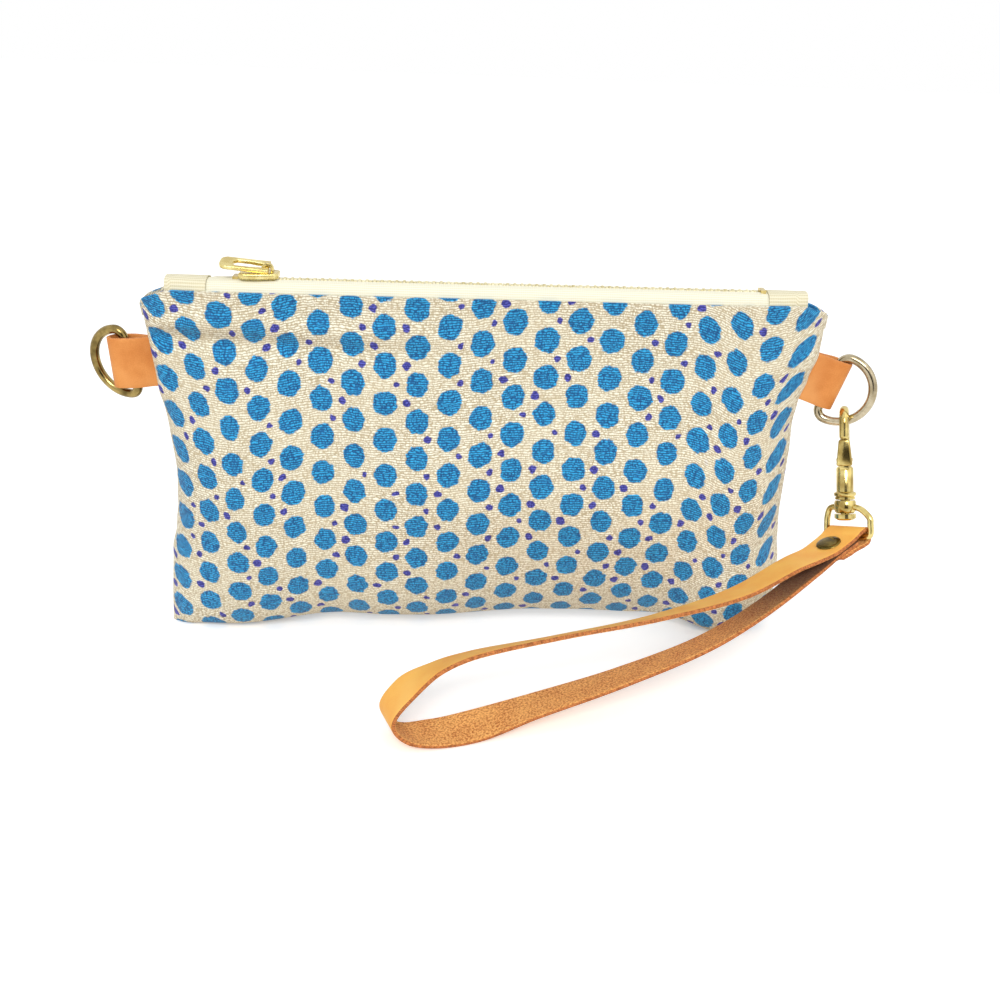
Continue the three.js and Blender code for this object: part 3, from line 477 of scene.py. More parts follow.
def modify(piece, kind, **settings):
    pick(piece)
    modifier = piece.modifiers.new(kind.lower(), kind)
    for key, value in settings.items():
        setattr(modifier, key, value)
    bpy.ops.object.modifier_apply(modifier=modifier.name)
    return piece


def ease_edges(piece, width, segments=2, angle=30):
    return modify(
        piece, "BEVEL", width=width, segments=segments, limit_method="ANGLE",
        angle_limit=math.radians(angle),
    )


def carve(piece, tool):
    modify(piece, "BOOLEAN", object=tool, operation="DIFFERENCE", solver="EXACT")
    bpy.data.objects.remove(tool)
    return piece


def fuse(name, *pieces):
    pick(pieces[0])
    for piece in pieces:
        piece.select_set(True)
    bpy.ops.object.join()
    return named(name)


def settle(piece, place=Matrix()):
    piece.data.transform(Matrix.Scale(MM, 4) @ place)
    pick(piece)
    bpy.ops.object.shade_smooth_by_angle(angle=math.radians(40))
    return piece


def dress(piece, paint, slot, body, *nodes):
    if not piece.data.materials:
        piece.data.materials.append(paint)
    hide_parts(*nodes)
    if body:
        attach(piece, body)
    return piece


def sheet(name, columns, rows, place):
    """A sheet of cloth or leather. place(across, up) gives a point and where it lies on the cut piece."""
    clear_selection()
    bpy.ops.mesh.primitive_grid_add(x_subdivisions=columns, y_subdivisions=rows, size=2)
    piece = named(name)
    lies = piece.data.attributes.new("lie", "FLOAT_VECTOR", "POINT")
    for vertex, lie in zip(piece.data.vertices, lies.data):
        point, cut = place(vertex.co.x, (vertex.co.y + 1) / 2)
        vertex.co = point
        lie.vector = cut
    piece.data.update()
    return piece


def face_to(piece, way, near=None):
    """Turn an open sheet so that it faces a way, by the whole sheet or by its faces near a point."""
    faces = piece.data.polygons
    if near is not None:
        faces = sorted(faces, key=lambda face: (face.center - near).length)[:4]
    facing = sum((face.normal * face.area for face in faces), Vector())
    if facing.dot(way) < 0:
        open_mesh(piece)
        bpy.ops.mesh.flip_normals()
        close_mesh()
    return piece


def turned(name, profile, steps=40):
    """A piece turned about Z from its profile of radius and height."""
    clear_selection()
    bpy.ops.mesh.primitive_circle_add(vertices=len(profile), radius=1)
    piece = named(name)
    for vertex, (radius, height) in zip(piece.data.vertices, profile):
        vertex.co = (radius, 0, height)
    open_mesh(piece)
    bpy.ops.mesh.spin(steps=steps, angle=2 * math.pi, center=(0, 0, 0), axis=(0, 0, 1))
    close_mesh()
    return close_up(piece)


def plate(name, outline, low, high):
    """A flat outline raised from one level to another."""
    clear_selection()
    bpy.ops.mesh.primitive_circle_add(vertices=len(outline), radius=1, fill_type="NGON")
    piece = named(name)
    for vertex, (x, y) in zip(piece.data.vertices, outline):
        vertex.co = (x, y, low)
    open_mesh(piece)
    bpy.ops.mesh.extrude_region_move(TRANSFORM_OT_translate={"value": (0, 0, high - low)})
    close_mesh()
    return close_up(piece)


def bent_wire(name, points, radius, closed=False):
    """Round wire along a line of points. radius is one number, or one for each point."""
    clear_selection()
    bpy.ops.curve.primitive_nurbs_path_add()
    curve = bpy.context.object.data
    curve.splines.clear()
    spline = curve.splines.new("POLY")
    spline.points.add(len(points) - 1)
    radii = radius if isinstance(radius, list) else [radius] * len(points)
    for knot, point, thick in zip(spline.points, points, radii):
        knot.co = (*point, 1)
        knot.radius = thick
    spline.use_cyclic_u = closed
    curve.bevel_depth = 1
    curve.bevel_resolution = 4
    curve.use_fill_caps = not closed
    bpy.ops.object.convert(target="MESH")
    return close_up(named(name))


def turn(degrees, axis):
    return Matrix.Rotation(math.radians(degrees), 4, axis)


def smooth(value, low, high):
    share = min(1, max(0, (value - low) / (high - low)))
    return share * share * (3 - 2 * share)


def along(line, share):
    """The point at a share of a line's length, and the length up to it."""
    lengths = [(b - a).length for a, b in zip(line, line[1:])]
    left = share * sum(lengths)
    gone = left
    for a, b, length in zip(line, line[1:], lengths):
        if left <= length:
            return a.lerp(b, left / length if length else 0), gone
        left -= length
    return line[-1], gone


def bezier(a, b, c, d, steps):
    points = []
    for i in range(steps + 1):
        t = i / steps
        s = 1 - t
        points.append(a * s ** 3 + b * (3 * s * s * t) + c * (3 * s * t * t) + d * t ** 3)
    return points


def through(points, steps):
    """A smooth centripetal curve through points, with so many steps between each two."""
    padded = [points[0] * 2 - points[1], *points, points[-1] * 2 - points[-2]]
    line = []
    for a, b, c, d in zip(padded, padded[1:], padded[2:], padded[3:]):
        first, middle, last = ((q - p).length ** 0.5 for p, q in ((a, b), (b, c), (c, d)))
        leave = ((b - a) / first - (c - a) / (first + middle) + (c - b) / middle) * middle
        reach = ((c - b) / middle - (d - b) / (middle + last) + (d - c) / last) * middle
        for i in range(steps):
            t = i / steps
            bend = (c - b) * 3 - leave * 2 - reach
            line.append(b + leave * t + bend * t * t + ((b - c) * 2 + leave + reach) * t ** 3)
    return [*line, points[-1]]


# The pouch's form.
def drawn_in(z):
    return math.sin(math.pi * min(1, max(0, z / PANEL_HEIGHT)))


def across_pouch(u, z):
    drawn = LEFT_PULL_IN if u < 0 else RIGHT_PULL_IN
    return u * HALF_WIDTH - math.copysign(abs(u) ** 3, u) * drawn * drawn_in(z)


def fullness(u, power, root):
    return max(0, 1 - abs(u) ** power) ** root


def top_edge(u):
    dip = max(0, 1 - (1 - abs(u)) * HALF_WIDTH / CORNER_SPAN)
    drop = LEFT_CORNER_DROP if u < 0 else RIGHT_CORNER_DROP
    return PANEL_HEIGHT - drop * dip * dip


def base_lift(u):
    """The pouch stands on its two lower corners: how far the base is off the table between them."""
    from_left = 0.58 * smooth(u, -0.82, -0.45) + 0.42 * smooth(u, -0.2, 0.2)
    return BASE_LIFT * from_left * (1 - smooth(u, 0.6, 0.83))


def tab_flare(u, z):
    """The seams open a little round each sewn-in tab."""
    near = 1 - smooth(abs(z - TAB_LEVEL), TAB_HEIGHT / 2, TAB_HEIGHT / 2 + 7)
    at_seam = smooth(abs(u) * HALF_WIDTH, HALF_WIDTH - TAB_INSET - 3, HALF_WIDTH - 1)
    return near * at_seam * (TAB_LEATHER + GAP)


def wall_line(u, inset, seam, lift, top):
    """One section of a wall as depth and height, from the base seam round the belly to the mouth."""
    def grow(full, share):
        return seam + max(0, full - inset - seam) * share
    belly = grow(BELLY_HALF, fullness(u, 6, 0.6))
    mouth = grow(MOUTH_HALF, fullness(u, 10, 0.5))
    foot_share = smooth(abs(u), 0.3, 0.85) * fullness(u, 16, 0.5)
    foot = BASE_HALF + (FOOT_HALF - BASE_HALF) * foot_share
    base = min(grow(foot, fullness(u, 10, 0.5)), belly * 0.8)
    rise = top - BELLY_HEIGHT
    bottom = inset + lift
    rounded = lift / BASE_LIFT
    under = Vector((base + (belly - base) * (0.75 - 0.4 * rounded), bottom + UNDERSIDE_RISE * rounded))
    low = bezier(
        Vector((base, bottom)), under, Vector((belly, bottom + BELLY_HEIGHT * 0.35)),
        Vector((belly, BELLY_HEIGHT)), 12,
    )
    high = bezier(
        Vector((belly, BELLY_HEIGHT)), Vector((belly, BELLY_HEIGHT + rise * 0.35)),
        Vector((mouth, top - rise * 0.4)), Vector((mouth, top)), 16,
    )
    return [Vector((seam, bottom)), *low, *high[1:]]


# Heights on the side seams, and how far each seam leans out there.
LEFT_LEAN = [
    (0, 1.4), (12, 1.7), (28, 1.5), (37, 0), (46, -0.9), (57, -1.4), (70, -0.8), (84, 0), (99, 0),
    (106, 0.4), (116, 0.5),
]
RIGHT_LEAN = [
    (0, 0.3), (28, 0.2), (36, -0.9), (47, -1.6), (66, -1.7), (78, -2.3), (84, -2.4), (92, -0.6),
    (100, 1.2), (106, 1.7), (116, 1.7),
]


def seam_lean(u, z):
    """How far the soft side seams stand out, or are drawn in, at a height."""
    knots = LEFT_LEAN if u < 0 else RIGHT_LEAN
    out = knots[-1][1]
    for (low, a), (high, b) in zip(knots, knots[1:]):
        if z < high:
            out = a + (b - a) * smooth(z, low, high)
            break
    return out * smooth(abs(u), 0.72, 1) * (1 if u > 0 else -1)


def denser_at_edges(w):
    """Even columns from -1 to 1, drawn closer together near the seams."""
    return w * (1.35 - 0.35 * w * w)


def rumple(x, z, face):
    """How the canvas of one side rises and falls: slack, the crease from the tab, puckers at the seams."""
    slack = noise.noise(Vector((x * 0.022, z * 0.028, face * 3.1))) * 0.9
    slack += noise.noise(Vector((x * 0.06, z * 0.075, face * 7.7))) * 0.35
    crease_fades = 1 - smooth(x, -95, 12)
    crease_level = TAB_LEVEL + 9.5 - 0.04 * (x + HALF_WIDTH)
    off = z - crease_level
    fold = 1.5 * math.exp(-((off - 5.5) / 4) ** 2)
    furrow = 2.3 * math.exp(-((off + 0.5) / 3.2) ** 2)
    crease = crease_fades * (fold - furrow)
    from_right = HALF_WIDTH - x
    drag = math.sin(from_right * 0.18 + (z - TAB_LEVEL) * 0.16) * math.exp(-from_right / 26) * 0.55
    from_seam = HALF_WIDTH - abs(x)
    pucker = math.sin(z * 0.62 + 2 * math.sin(z * 0.11)) * math.exp(-from_seam / 5) * 0.42
    foot = math.sin(x * 0.2 + 2 * math.sin(x * 0.05)) * math.exp(-z / 9) * 0.5
    return slack + crease + drag + pucker + foot


def canvas_side(name, face):
    lines = {}

    def place(w, t):
        u = denser_at_edges(w)
        if u not in lines:
            top = top_edge(u) + LEFT_CORNER_RISE * smooth(-u, 0.94, 1)
            lifted = base_lift(u) + RIGHT_FOOT_RISE * smooth(u, 0.88, 1)
            lifted += LEFT_FOOT_RISE * smooth(u, -0.97, -0.86) * (1 - smooth(u, -0.5, -0.3))
            wall = wall_line(u, inset=0, seam=0.25, lift=lifted, top=top)
            mouth = wall[-1].x
            turn = min(1, mouth / 3)
            hem = [(0.12, 0.32), (0.6, 0.45), (1.05, 0.15), (1.2, -0.6), (1.2, -4.5)]
            lines[u] = wall + [Vector((mouth - turn * dip, top + up)) for dip, up in hem]
        point, gone = along(lines[u], t)
        depth, z = point
        x = across_pouch(u, z) + seam_lean(u, z)
        still = smooth(t, 0.02, 0.12) * (1 - smooth(t, 0.86, 0.93)) * fullness(u, 60, 0.8)
        depth += tab_flare(u, z) + rumple(x, z, face) * still
        return Vector((x, face * depth, z)), Vector((u * HALF_WIDTH * face + 130, gone, 0))

    piece = sheet(name, 150, 104, place)
    face_to(piece, Vector((0, face, 0)))
    modify(piece, "SOLIDIFY", thickness=CANVAS_CLOTH, offset=-1)
    return settle(piece)


def lining_side(name, face):
    reach = 1 - LINING_INSET / HALF_WIDTH
    inset = PANEL_WALL + GAP + 0.1
    lines = {}

    def place(w, t):
        u = denser_at_edges(w)
        if u not in lines:
            top = top_edge(u * reach) - TAPE_TUCK - GAP
            lines[u] = wall_line(u, inset, seam=0.2, lift=BASE_LIFT, top=top)
        point, gone = along(lines[u], t)
        depth, z = point
        x = across_pouch(u * reach, z)
        still = smooth(t, 0.05, 0.2) * (1 - smooth(t, 0.9, 0.98)) * fullness(u, 30, 1)
        slack = noise.noise(Vector((x * 0.05, z * 0.05, face * 5.3))) - 0.4
        depth += (min(0, slack) * 1.2 + min(0, rumple(x, z, face))) * still
        return Vector((x, face * depth, z)), Vector((u * HALF_WIDTH, gone, 0))

    piece = sheet(name, 90, 60, place)
    face_to(piece, Vector((0, face, 0)))
    modify(piece, "SOLIDIFY", thickness=LINING_CLOTH, offset=-1)
    return settle(piece)


for side, face in (("front", -1), ("back", 1)):
    canvas = dress(canvas_side(f"{side}_canvas", face), CANVAS, "canvas", "pouch", f"{side}_panel")
    lining = dress(lining_side(f"{side}_cotton_lining", face), COTTON, "lining", "pouch", f"{side}_lining")


# The zip.
def tape_line(u, edge):
    mouth = 0.3 + (MOUTH_HALF - 0.3) * fullness(u, 10, 0.5)
    tucked = mouth - PANEL_WALL - GAP - TAPE_WALL / 2
    shoulder = edge + (tucked - edge) * 0.6
    knots = [
        Vector((tucked, top_edge(u) - TAPE_TUCK)), Vector((tucked, PANEL_HEIGHT - TAPE_WALL)),
        Vector((shoulder, RIDGE - RIDGE_RISE * 0.25)), Vector((edge, RIDGE)),
    ]
    return through(knots, 5)


def tape_piece(name, face, start, end):
    def place(w, t):
        x = start + (end - start) * (w + 1) / 2
        bare = smooth(x, CHAIN_LEFT - 1, CHAIN_LEFT - 9) + smooth(x, CHAIN_RIGHT + 0.5, CHAIN_RIGHT + 2.5)
        edge = TAPE_EDGE - (TAPE_EDGE - BARE_TAPE_EDGE) * bare
        point, gone = along(tape_line(x / HALF_WIDTH, edge), t)
        covered = smooth(x, LEFT_END + 0.8, LEFT_END - 0.8) + smooth(x, RIGHT_END - 0.8, RIGHT_END + 0.8)
        dip = COVERED_DIP * covered
        return Vector((x, face * (point.x - dip), point.y - dip)), Vector((x, gone, 0))

    columns = max(6, round((end - start) / 2.5))
    piece = sheet(name, columns, 16, place)
    face_to(piece, Vector((0, face, 0.2)))
    modify(piece, "SOLIDIFY", thickness=TAPE_CLOTH, offset=0)
    return settle(piece)


def tooth_row(name, face, start, end):
    """One tooth, eased and drawn in at its tip, set out along the tape."""
    width, outer, tip = 0.95, -1.5, 0.75
    shift = 0 if face < 0 else TOOTH_PITCH / 2
    count = math.floor((end - start - 0.8 - shift) / TOOTH_PITCH) + 1
    clear_selection()
    bpy.ops.mesh.primitive_cube_add(size=1)
    piece = named(name)
    for vertex in piece.data.vertices:
        at_tip = vertex.co.y > 0
        vertex.co.x *= width * (0.82 if at_tip else 1.1)
        vertex.co.y = (tip if at_tip else outer) * -face
        vertex.co.z *= TOOTH_HEIGHT * (0.72 if at_tip else 1)
    close_up(piece)
    ease_edges(piece, 0.2, 1)
    modify(
        piece, "ARRAY", count=count, use_relative_offset=False, use_constant_offset=True,
        constant_offset_displace=(TOOTH_PITCH, 0, 0),
    )
    return settle(piece, Matrix.Translation((start + 0.6 + shift, 0, RIDGE - 0.2)))


SPANS = (("left", CHAIN_LEFT, CHAIN_MIDDLE), ("right", CHAIN_MIDDLE, CHAIN_RIGHT))
for side, face in (("front", -1), ("back", 1)):
    for end, start, stop in SPANS:
        row = f"{side}_{end}_row"
        teeth = tooth_row(f"{side}_{end}_brass_teeth", face, start + GAP / 2, stop - GAP / 2)
        dress(teeth, TOOTH_BRASS, "brass", row, f"{side}_{end}_teeth")
        tape = tape_piece(f"{side}_{end}_tape_cloth", face, start, stop)
        dress(tape, TAPE, "zip_tape", None, f"{side}_zip_tape")
        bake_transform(tape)
    for end, start, stop in (("left", TAPE_LEFT, CHAIN_LEFT), ("right", CHAIN_RIGHT, TAPE_RIGHT)):
        tape = tape_piece(f"{side}_{end}_tape_end", face, start, stop)
        dress(tape, TAPE, "zip_tape", "pouch", f"{side}_zip_tape")


def zip_end(name, outer, inward):
    """Ribbed cloth folded over the end of the zip, its lower edges tucked behind the canvas."""
    def place(w, t):
        x = outer + inward * ZIP_END_LENGTH * (w + 1) / 2
        low = top_edge(x / HALF_WIDTH) - 1.5
        tape = tape_line(x / HALF_WIDTH, TAPE_EDGE)
        line = [Vector((p.x + 0.25, p.y + 0.15)) for p in tape if p.y > low]
        half = [Vector((-p.x, p.y)) for p in line] + [Vector((0, RIDGE + 0.35))]
        whole = half + [Vector((-p.x, p.y)) for p in reversed(half[:-1])]
        point, gone = along(whole, t)
        return Vector((x, point.x, point.y)), Vector((x, gone, 0))

    piece = sheet(name, 12, 36, place)
    face_to(piece, Vector((0, 0, 1)))
    modify(piece, "SOLIDIFY", thickness=ZIP_END_CLOTH, offset=0)
    ease_edges(piece, 0.12)
    return settle(piece)


for name, outer, inward in (("left", TAPE_LEFT, 1), ("right", TAPE_RIGHT, -1)):
    ends = zip_end(f"{name}_ribbed_zip_end", outer, inward)
    dress(ends, RIBBED_TAPE, "zip_tape", "pouch", f"{name}_zip_end")


def slider():
    """Two plates on a wedge, with a bail for the pull."""
    def shield(name, nose, tail, low, high):
        x0, x1, x2, x3 = (SLIDER_NOSE + SLIDER_LENGTH * s for s in (0, 0.12, 0.45, 1))
        upper = [(x0, nose * 0.8), (x1, nose), (x2, nose), (x3 - 0.8, tail), (x3, tail * 0.7)]
        outline = upper + [(x, -y) for x, y in reversed(upper)]
        return ease_edges(plate(name, outline, low, high), 0.4, 3)

    rise = PULL_PIVOT[2] - PLATE_TOP

    def arch(half, height):
        arcs = [math.pi * i / 10 for i in range(11)]
        over = [(half * math.cos(a), rise + height * math.sin(a)) for a in arcs]
        return [(half, -0.1), *over, (-half, -0.1)]

    top = shield("slider_top", nose=4.2, tail=3.2, low=PLATE_TOP - 1.6, high=PLATE_TOP)
    keel = shield("slider_keel", nose=2.8, tail=2.2, low=RIDGE - 2.1, high=RIDGE - 1.2)
    front, back = SLIDER_NOSE + 0.2, SLIDER_NOSE + 2
    wedge = [(front, -1.1), (back, -0.6), (back, 0.6), (front, 1.1)]
    post = plate("slider_wedge", wedge, RIDGE - 1.5, PLATE_TOP - 0.5)
    outside = arch(1.8, 1.75)
    inside = arch(-0.92, 0.9)
    bail = ease_edges(plate("slider_bail", outside + inside, -1, 1), 0.25, 2)
    stand = Matrix.Translation((PULL_PIVOT[0], 0, PLATE_TOP)) @ Matrix.Rotation(math.pi / 2, 4, "X")
    bail.data.transform(stand)
    return settle(fuse("zip_slider", top, keel, post, bail))


def pull():
    """A blade with rounded corners at its far end and a slot that the bail passes through."""
    length, half, round_end = 13.8, 3.2, 2.2
    outline = [(0.6, -half), (0.6, half)]
    for start, y in ((90, half - round_end), (180, round_end - half)):
        for i in range(7):
            a = math.radians(start + 15 * i)
            outline.append((round_end - length + round_end * math.cos(a), y + round_end * math.sin(a)))
    blade = plate("zip_pull", outline, -0.6, 0.6)
    slot = [
        (-0.6, -1.3), (-0.6, 1.3), (-3.4, 1.3), (-5, 1.7), (-9, 1.7), (-10, 0.8),
        (-10, -0.8), (-9, -1.7), (-5, -1.7), (-3.4, -1.3),
    ]
    carve(blade, plate("pull_slot", slot, -2, 2))
    raised = Matrix.Translation(PULL_PIVOT) @ Matrix.Translation((0, 0, PULL_RISE))
    return settle(ease_edges(blade, 0.28, 3), raised @ turn(PULL_TILT, "Y") @ turn(PULL_ROLL, "X"))


dress(slider(), ZIP_BRASS, "brass", "slider", "slider_body")
dress(pull(), ZIP_BRASS, "brass", "pull", "pull_tab")


# Tabs and D-rings.
def tab_frame(side, droop):
    drawn = LEFT_PULL_IN if side < 0 else RIGHT_PULL_IN
    seam = side * (HALF_WIDTH - drawn * drawn_in(TAB_LEVEL))
    facing = turn(180 if side < 0 else 0, "Z")
    return Matrix.Translation((seam, 0, TAB_LEVEL)) @ facing @ turn(droop, "Y")


def ring_frame(tab, reach, slack, drop, swing, tip):
    bar = reach - TAB_LEATHER - GAP - RING_WIRE / 2 - slack
    return tab @ Matrix.Translation((bar, 0, -drop)) @ turn(tip, "Y") @ turn(swing, "Z")


LEFT_TAB = tab_frame(-1, LEFT_TAB_DROOP)
RIGHT_TAB = tab_frame(1, RIGHT_TAB_DROOP)
LEFT_RING = ring_frame(LEFT_TAB, LEFT_TAB_REACH, LEFT_SLACK, drop=0.2, swing=-22, tip=7)
RIGHT_RING = ring_frame(RIGHT_TAB, RIGHT_TAB_REACH, RIGHT_SLACK, drop=0.9, swing=-28, tip=0)


def leather_tab(name, reach, slack):
    """One strip folded round the ring's bar, its ends together in the seam."""
    middle = RING_WIRE / 2 + GAP + TAB_LEATHER / 2
    slot_start = reach - TAB_LEATHER - TAB_SLOT - slack
    bend = reach - TAB_LEATHER / 2 - middle
    knots = [(-TAB_INSET, 0.7), (slot_start - 1.7, 0.72), (slot_start + 3, middle), (bend, middle)]
    half = through([Vector(knot) for knot in knots], 6)
    for i in range(1, 9):
        a = math.pi / 2 * (1 - i / 8)
        half.append(Vector((bend + middle * math.cos(a), middle * math.sin(a))))
    line = half + [Vector((p.x, -p.y)) for p in reversed(half[:-1])]

    def place(w, t):
        point, gone = along(line, t)
        up = w * TAB_HEIGHT / 2
        return Vector((point.x, point.y, up)), Vector((gone, up, 0))

    piece = sheet(name, 12, 70, place)
    face_to(piece, Vector((1, 0, 0)), Vector((reach, 0, 0)))
    for paint in (TAB_GRAIN, TAB_EDGE):
        piece.data.materials.append(paint)
    modify(piece, "SOLIDIFY", thickness=TAB_LEATHER - 0.05, offset=0, material_offset_rim=1)
    return ease_edges(piece, 0.22, 2, 50)


def ring_line():
    """The D: its bar on Z, two corners and a half round."""
    line = []
    bar = RING_RADIUS - RING_CORNER
    for i in range(7):
        line.append(Vector((0, 0, -bar + 2 * bar * i / 6)))
    for i in range(1, 8):
        a = math.pi / 2 * i / 8
        line.append(Vector((RING_CORNER * (1 - math.cos(a)), 0, bar + RING_CORNER * math.sin(a))))
    for i in range(41):
        a = math.pi / 2 - math.pi * i / 40
        line.append(Vector((RING_CORNER + RING_RADIUS * math.cos(a), 0, RING_RADIUS * math.sin(a))))
    for i in range(1, 8):
        a = math.pi / 2 * (1 - i / 8)
        line.append(Vector((RING_CORNER * (1 - math.cos(a)), 0, -bar - RING_CORNER * math.sin(a))))
    return line


for side, tab, reach, slack, ring, metal in (
    ("left", LEFT_TAB, LEFT_TAB_REACH, LEFT_SLACK, LEFT_RING, OLD_BRASS),
    ("right", RIGHT_TAB, RIGHT_TAB_REACH, RIGHT_SLACK, RIGHT_RING, NICKELLED),
):
    leather = settle(leather_tab(f"{side}_leather_tab", reach, slack), tab)
    dress(leather, TAB_GRAIN, "tab_leather", "pouch", f"{side}_tab")
    loop = settle(bent_wire(f"{side}_ring", ring_line(), RING_WIRE / 2, closed=True), ring)
    dress(loop, metal, "brass", f"{side}_ring", f"{side}_d_ring")


# The snap hook and its swivel eye.
on_ring = math.radians(HOOK_ON_RING)
hanging = RIGHT_RING @ Vector((
    RING_CORNER + RING_RADIUS * math.cos(on_ring), 0, RING_RADIUS * math.sin(on_ring)
))
HOOK = Matrix.Translation(hanging) @ turn(-HOOK_LEAN, "X") @ turn(-HOOK_TILT, "Y") @ turn(HOOK_TURN, "Z")
EYE = HOOK @ turn(-EYE_TURN, "Z")
# Stands a plate up, so that its outline lies in Y and Z and its thickness along X.
STAND_UP = Matrix(((0, 0, 1, 0), (1, 0, 0, 0), (0, 1, 0, 0), (0, 0, 0, 1)))


def snap_hook():
    """The bent shank with its nose, the turned barrel, and the lug that carries the gate."""
    level = ARCH_TOP - HOOK_HALF
    h = HOOK_HALF
    knots = [
        (0, -BARREL_TOP - 1), (h * 0.3, 1 - BARREL_TOP), (h * 0.92, -SHANK_DEPTH), (h, level - 1.5),
        (h * 0.94, level + h * 0.34), (h * 0.6, level + h * 0.8), (0, ARCH_TOP),
        (-h * 0.6, level + h * 0.8), (-h * 0.94, level + h * 0.34), (-h, level - 1.5), (-h, -NOSE_DEPTH),
    ]
    line = through([Vector((0, y, z)) for y, z in knots], 8)
    count = len(line) - 1
    strand = HOOK_STRAND / 2
    thick = [strand * (1.18 - 0.18 * smooth(i / count, 0, 0.3)) for i in range(count + 1)]
    for i, share in enumerate((0.86, 0.98, 1)):
        thick[count - i] = strand * share
    shank = bent_wire("hook_shank", line, thick)
    bore = STUD_RADIUS + GAP
    barrel = turned("hook_barrel", [
        (0, -BARREL_TOP + 0.4), (1.4, -BARREL_TOP + 0.3), (2.2, -BARREL_TOP - 0.1),
        (BARREL_RADIUS, -BARREL_TOP - 0.7), (BARREL_RADIUS, -BARREL_BOTTOM + 2.5),
        (2.95, -BARREL_BOTTOM + 2.35), (COLLAR_RADIUS, -BARREL_BOTTOM + 2.05),
        (COLLAR_RADIUS, -BARREL_BOTTOM + 1.35), (3.2, -BARREL_BOTTOM + 1.1), (2.85, -BARREL_BOTTOM + 0.95),
        (2.85, -BARREL_BOTTOM + 0.75), (3.1, -BARREL_BOTTOM + 0.6), (3.1, -BARREL_BOTTOM + 0.15),
        (2.95, -BARREL_BOTTOM), (bore, -BARREL_BOTTOM), (bore, -BARREL_BOTTOM + STUD_SEAT),
        (0, -BARREL_BOTTOM + STUD_SEAT),
    ])
    lug_outline = [(1, -15.3), (-3, -15.3), (-3, -12.4), (-2.7, -11.5), (-1.9, -11), (-1.2, -11), (1, -12.2)]
    lug = ease_edges(plate("hook_lug", lug_outline, -1.4, 1.4), 0.3, 2)
    lug.data.transform(STAND_UP)
    return settle(fuse("snap_hook", shank, barrel, lug), HOOK)


def thumb_gate():
    """The gate: a channel over the lug, with rounded shoulders, that narrows to the nose."""
    outline = [(-0.5, -13.7), (-4.7, -14.1), (-5.1, -5.7), (-3.8, -5.7), (-0.5, -10.8)]
    gate = plate("thumb_gate", outline, -1, 1)
    for vertex in gate.data.vertices:
        vertex.co.z *= 2.45 - 0.8 * smooth(vertex.co.y, -14.1, -5.7)
    ease_edges(gate, 0.75, 3)
    hollow = plate("gate_hollow", [(4, -15), (-4.2, -15), (-4.2, -7.4), (4, -7.4)], -1, 1)
    for vertex in hollow.data.vertices:
        vertex.co.z *= 1.85 - 0.5 * smooth(vertex.co.y, -13.6, -7.4)
    carve(gate, hollow)
    gate.data.transform(STAND_UP)
    return settle(gate, HOOK)


def eye_loop():
    """The boss that turns on the stud, and the wire loop that carries the strap."""
    top = -BARREL_BOTTOM - GAP
    bore = STUD_RADIUS + GAP
    boss = turned("eye_boss", [
        (bore, top), (bore, top - BOSS_HEIGHT), (2.7, top - BOSS_HEIGHT), (3.1, top - BOSS_HEIGHT + 0.4),
        (COLLAR_RADIUS, top - BOSS_HEIGHT * 0.6), (3.3, top - 0.6), (3, top),
    ])
    leg = top - BOSS_HEIGHT / 2
    corner = 1.15
    bar = EYE_BAR + FOLD_RISE
    side = [
        (bore + EYE_WIRE * 0.6, leg), (EYE_HALF * 0.72, leg - 0.8), (EYE_HALF * 0.98, leg - 3.6),
        (EYE_HALF, bar + 4), (EYE_HALF, bar + corner), (EYE_HALF - corner * 0.3, bar + corner * 0.3),
        (EYE_HALF - corner, bar),
    ]
    knots = [Vector((-x, 0, z)) for x, z in side] + [Vector((x, 0, z)) for x, z in reversed(side)]
    for knot in knots:
        knot.x += FOLD_ASIDE * smooth(-knot.z, -leg, 3.6 - leg)
    loop = bent_wire("eye_loop", through(knots, 6), EYE_WIRE / 2 + 0.08)
    return settle(fuse("swivel_loop", boss, loop), EYE)


dress(snap_hook(), BRASS, "brass", "hook", "hook_body")
dress(thumb_gate(), BRASS, "brass", "gate", "hook_gate")
dress(eye_loop(), BRASS, "brass", "eye", "swivel_eye")


# The wrist strap, close to the route of its solid.
STRAP = EYE @ Matrix.Translation((0, 0, EYE_BAR)) @ turn(-STRAP_SWING, "X")
BAR = STRAP.translation
ACROSS = STRAP.col[0].xyz
FOLD = EYE @ Matrix.Translation((FOLD_ASIDE, 0, EYE_BAR + FOLD_RISE)) @ turn(-FOLD_SWING, "X")
OUT = -FOLD.col[2].xyz
UP = OUT.cross(ACROSS).normalized()
LEAD = (OUT - ACROSS * STRAP_SKEW).normalized()
# Where the loop passes, from the eye bar, and the direction of its width there.
LOOP = [
    ((-20.5, -14.5, -10.5), (0.25, -0.85, 0.45)),
    ((-45, -24.5, -23), (0.2, -0.9, 0.35)),
    ((-74, -33, -31.5), (0.2, -0.95, 0.25)),
    ((-101, -38.5, -38.5), (0.2, -1, 0.1)),
    ((-118, -42.5, -42.5), (0.25, -0.95, -0.1)),
    ((-130, -45.5, -43), (0.25, -0.95, 0)),
    ((-139, -47, -41.5), (0.35, -0.95, 0.15)),
    ((-143, -46.5, -36), (0.35, -0.95, 0.1)),
    ((-138.5, -44.5, -29), (0.35, -0.95, 0.1)),
    ((-129.5, -42, -23), (0.2, -0.9, 0.35)),
    ((-120, -39, -20.5), (0.15, -0.85, 0.45)),
    ((-94, -32, -18.5), (0.15, -0.85, 0.55)),
    ((-63.5, -24.5, -16), (0.2, -0.85, 0.5)),
    ((-36.5, -16.5, -11.5), (0.2, -0.9, 0.35)),
    ((-20.5, -11.5, -4.5), (0.25, -0.9, 0.3)),
]


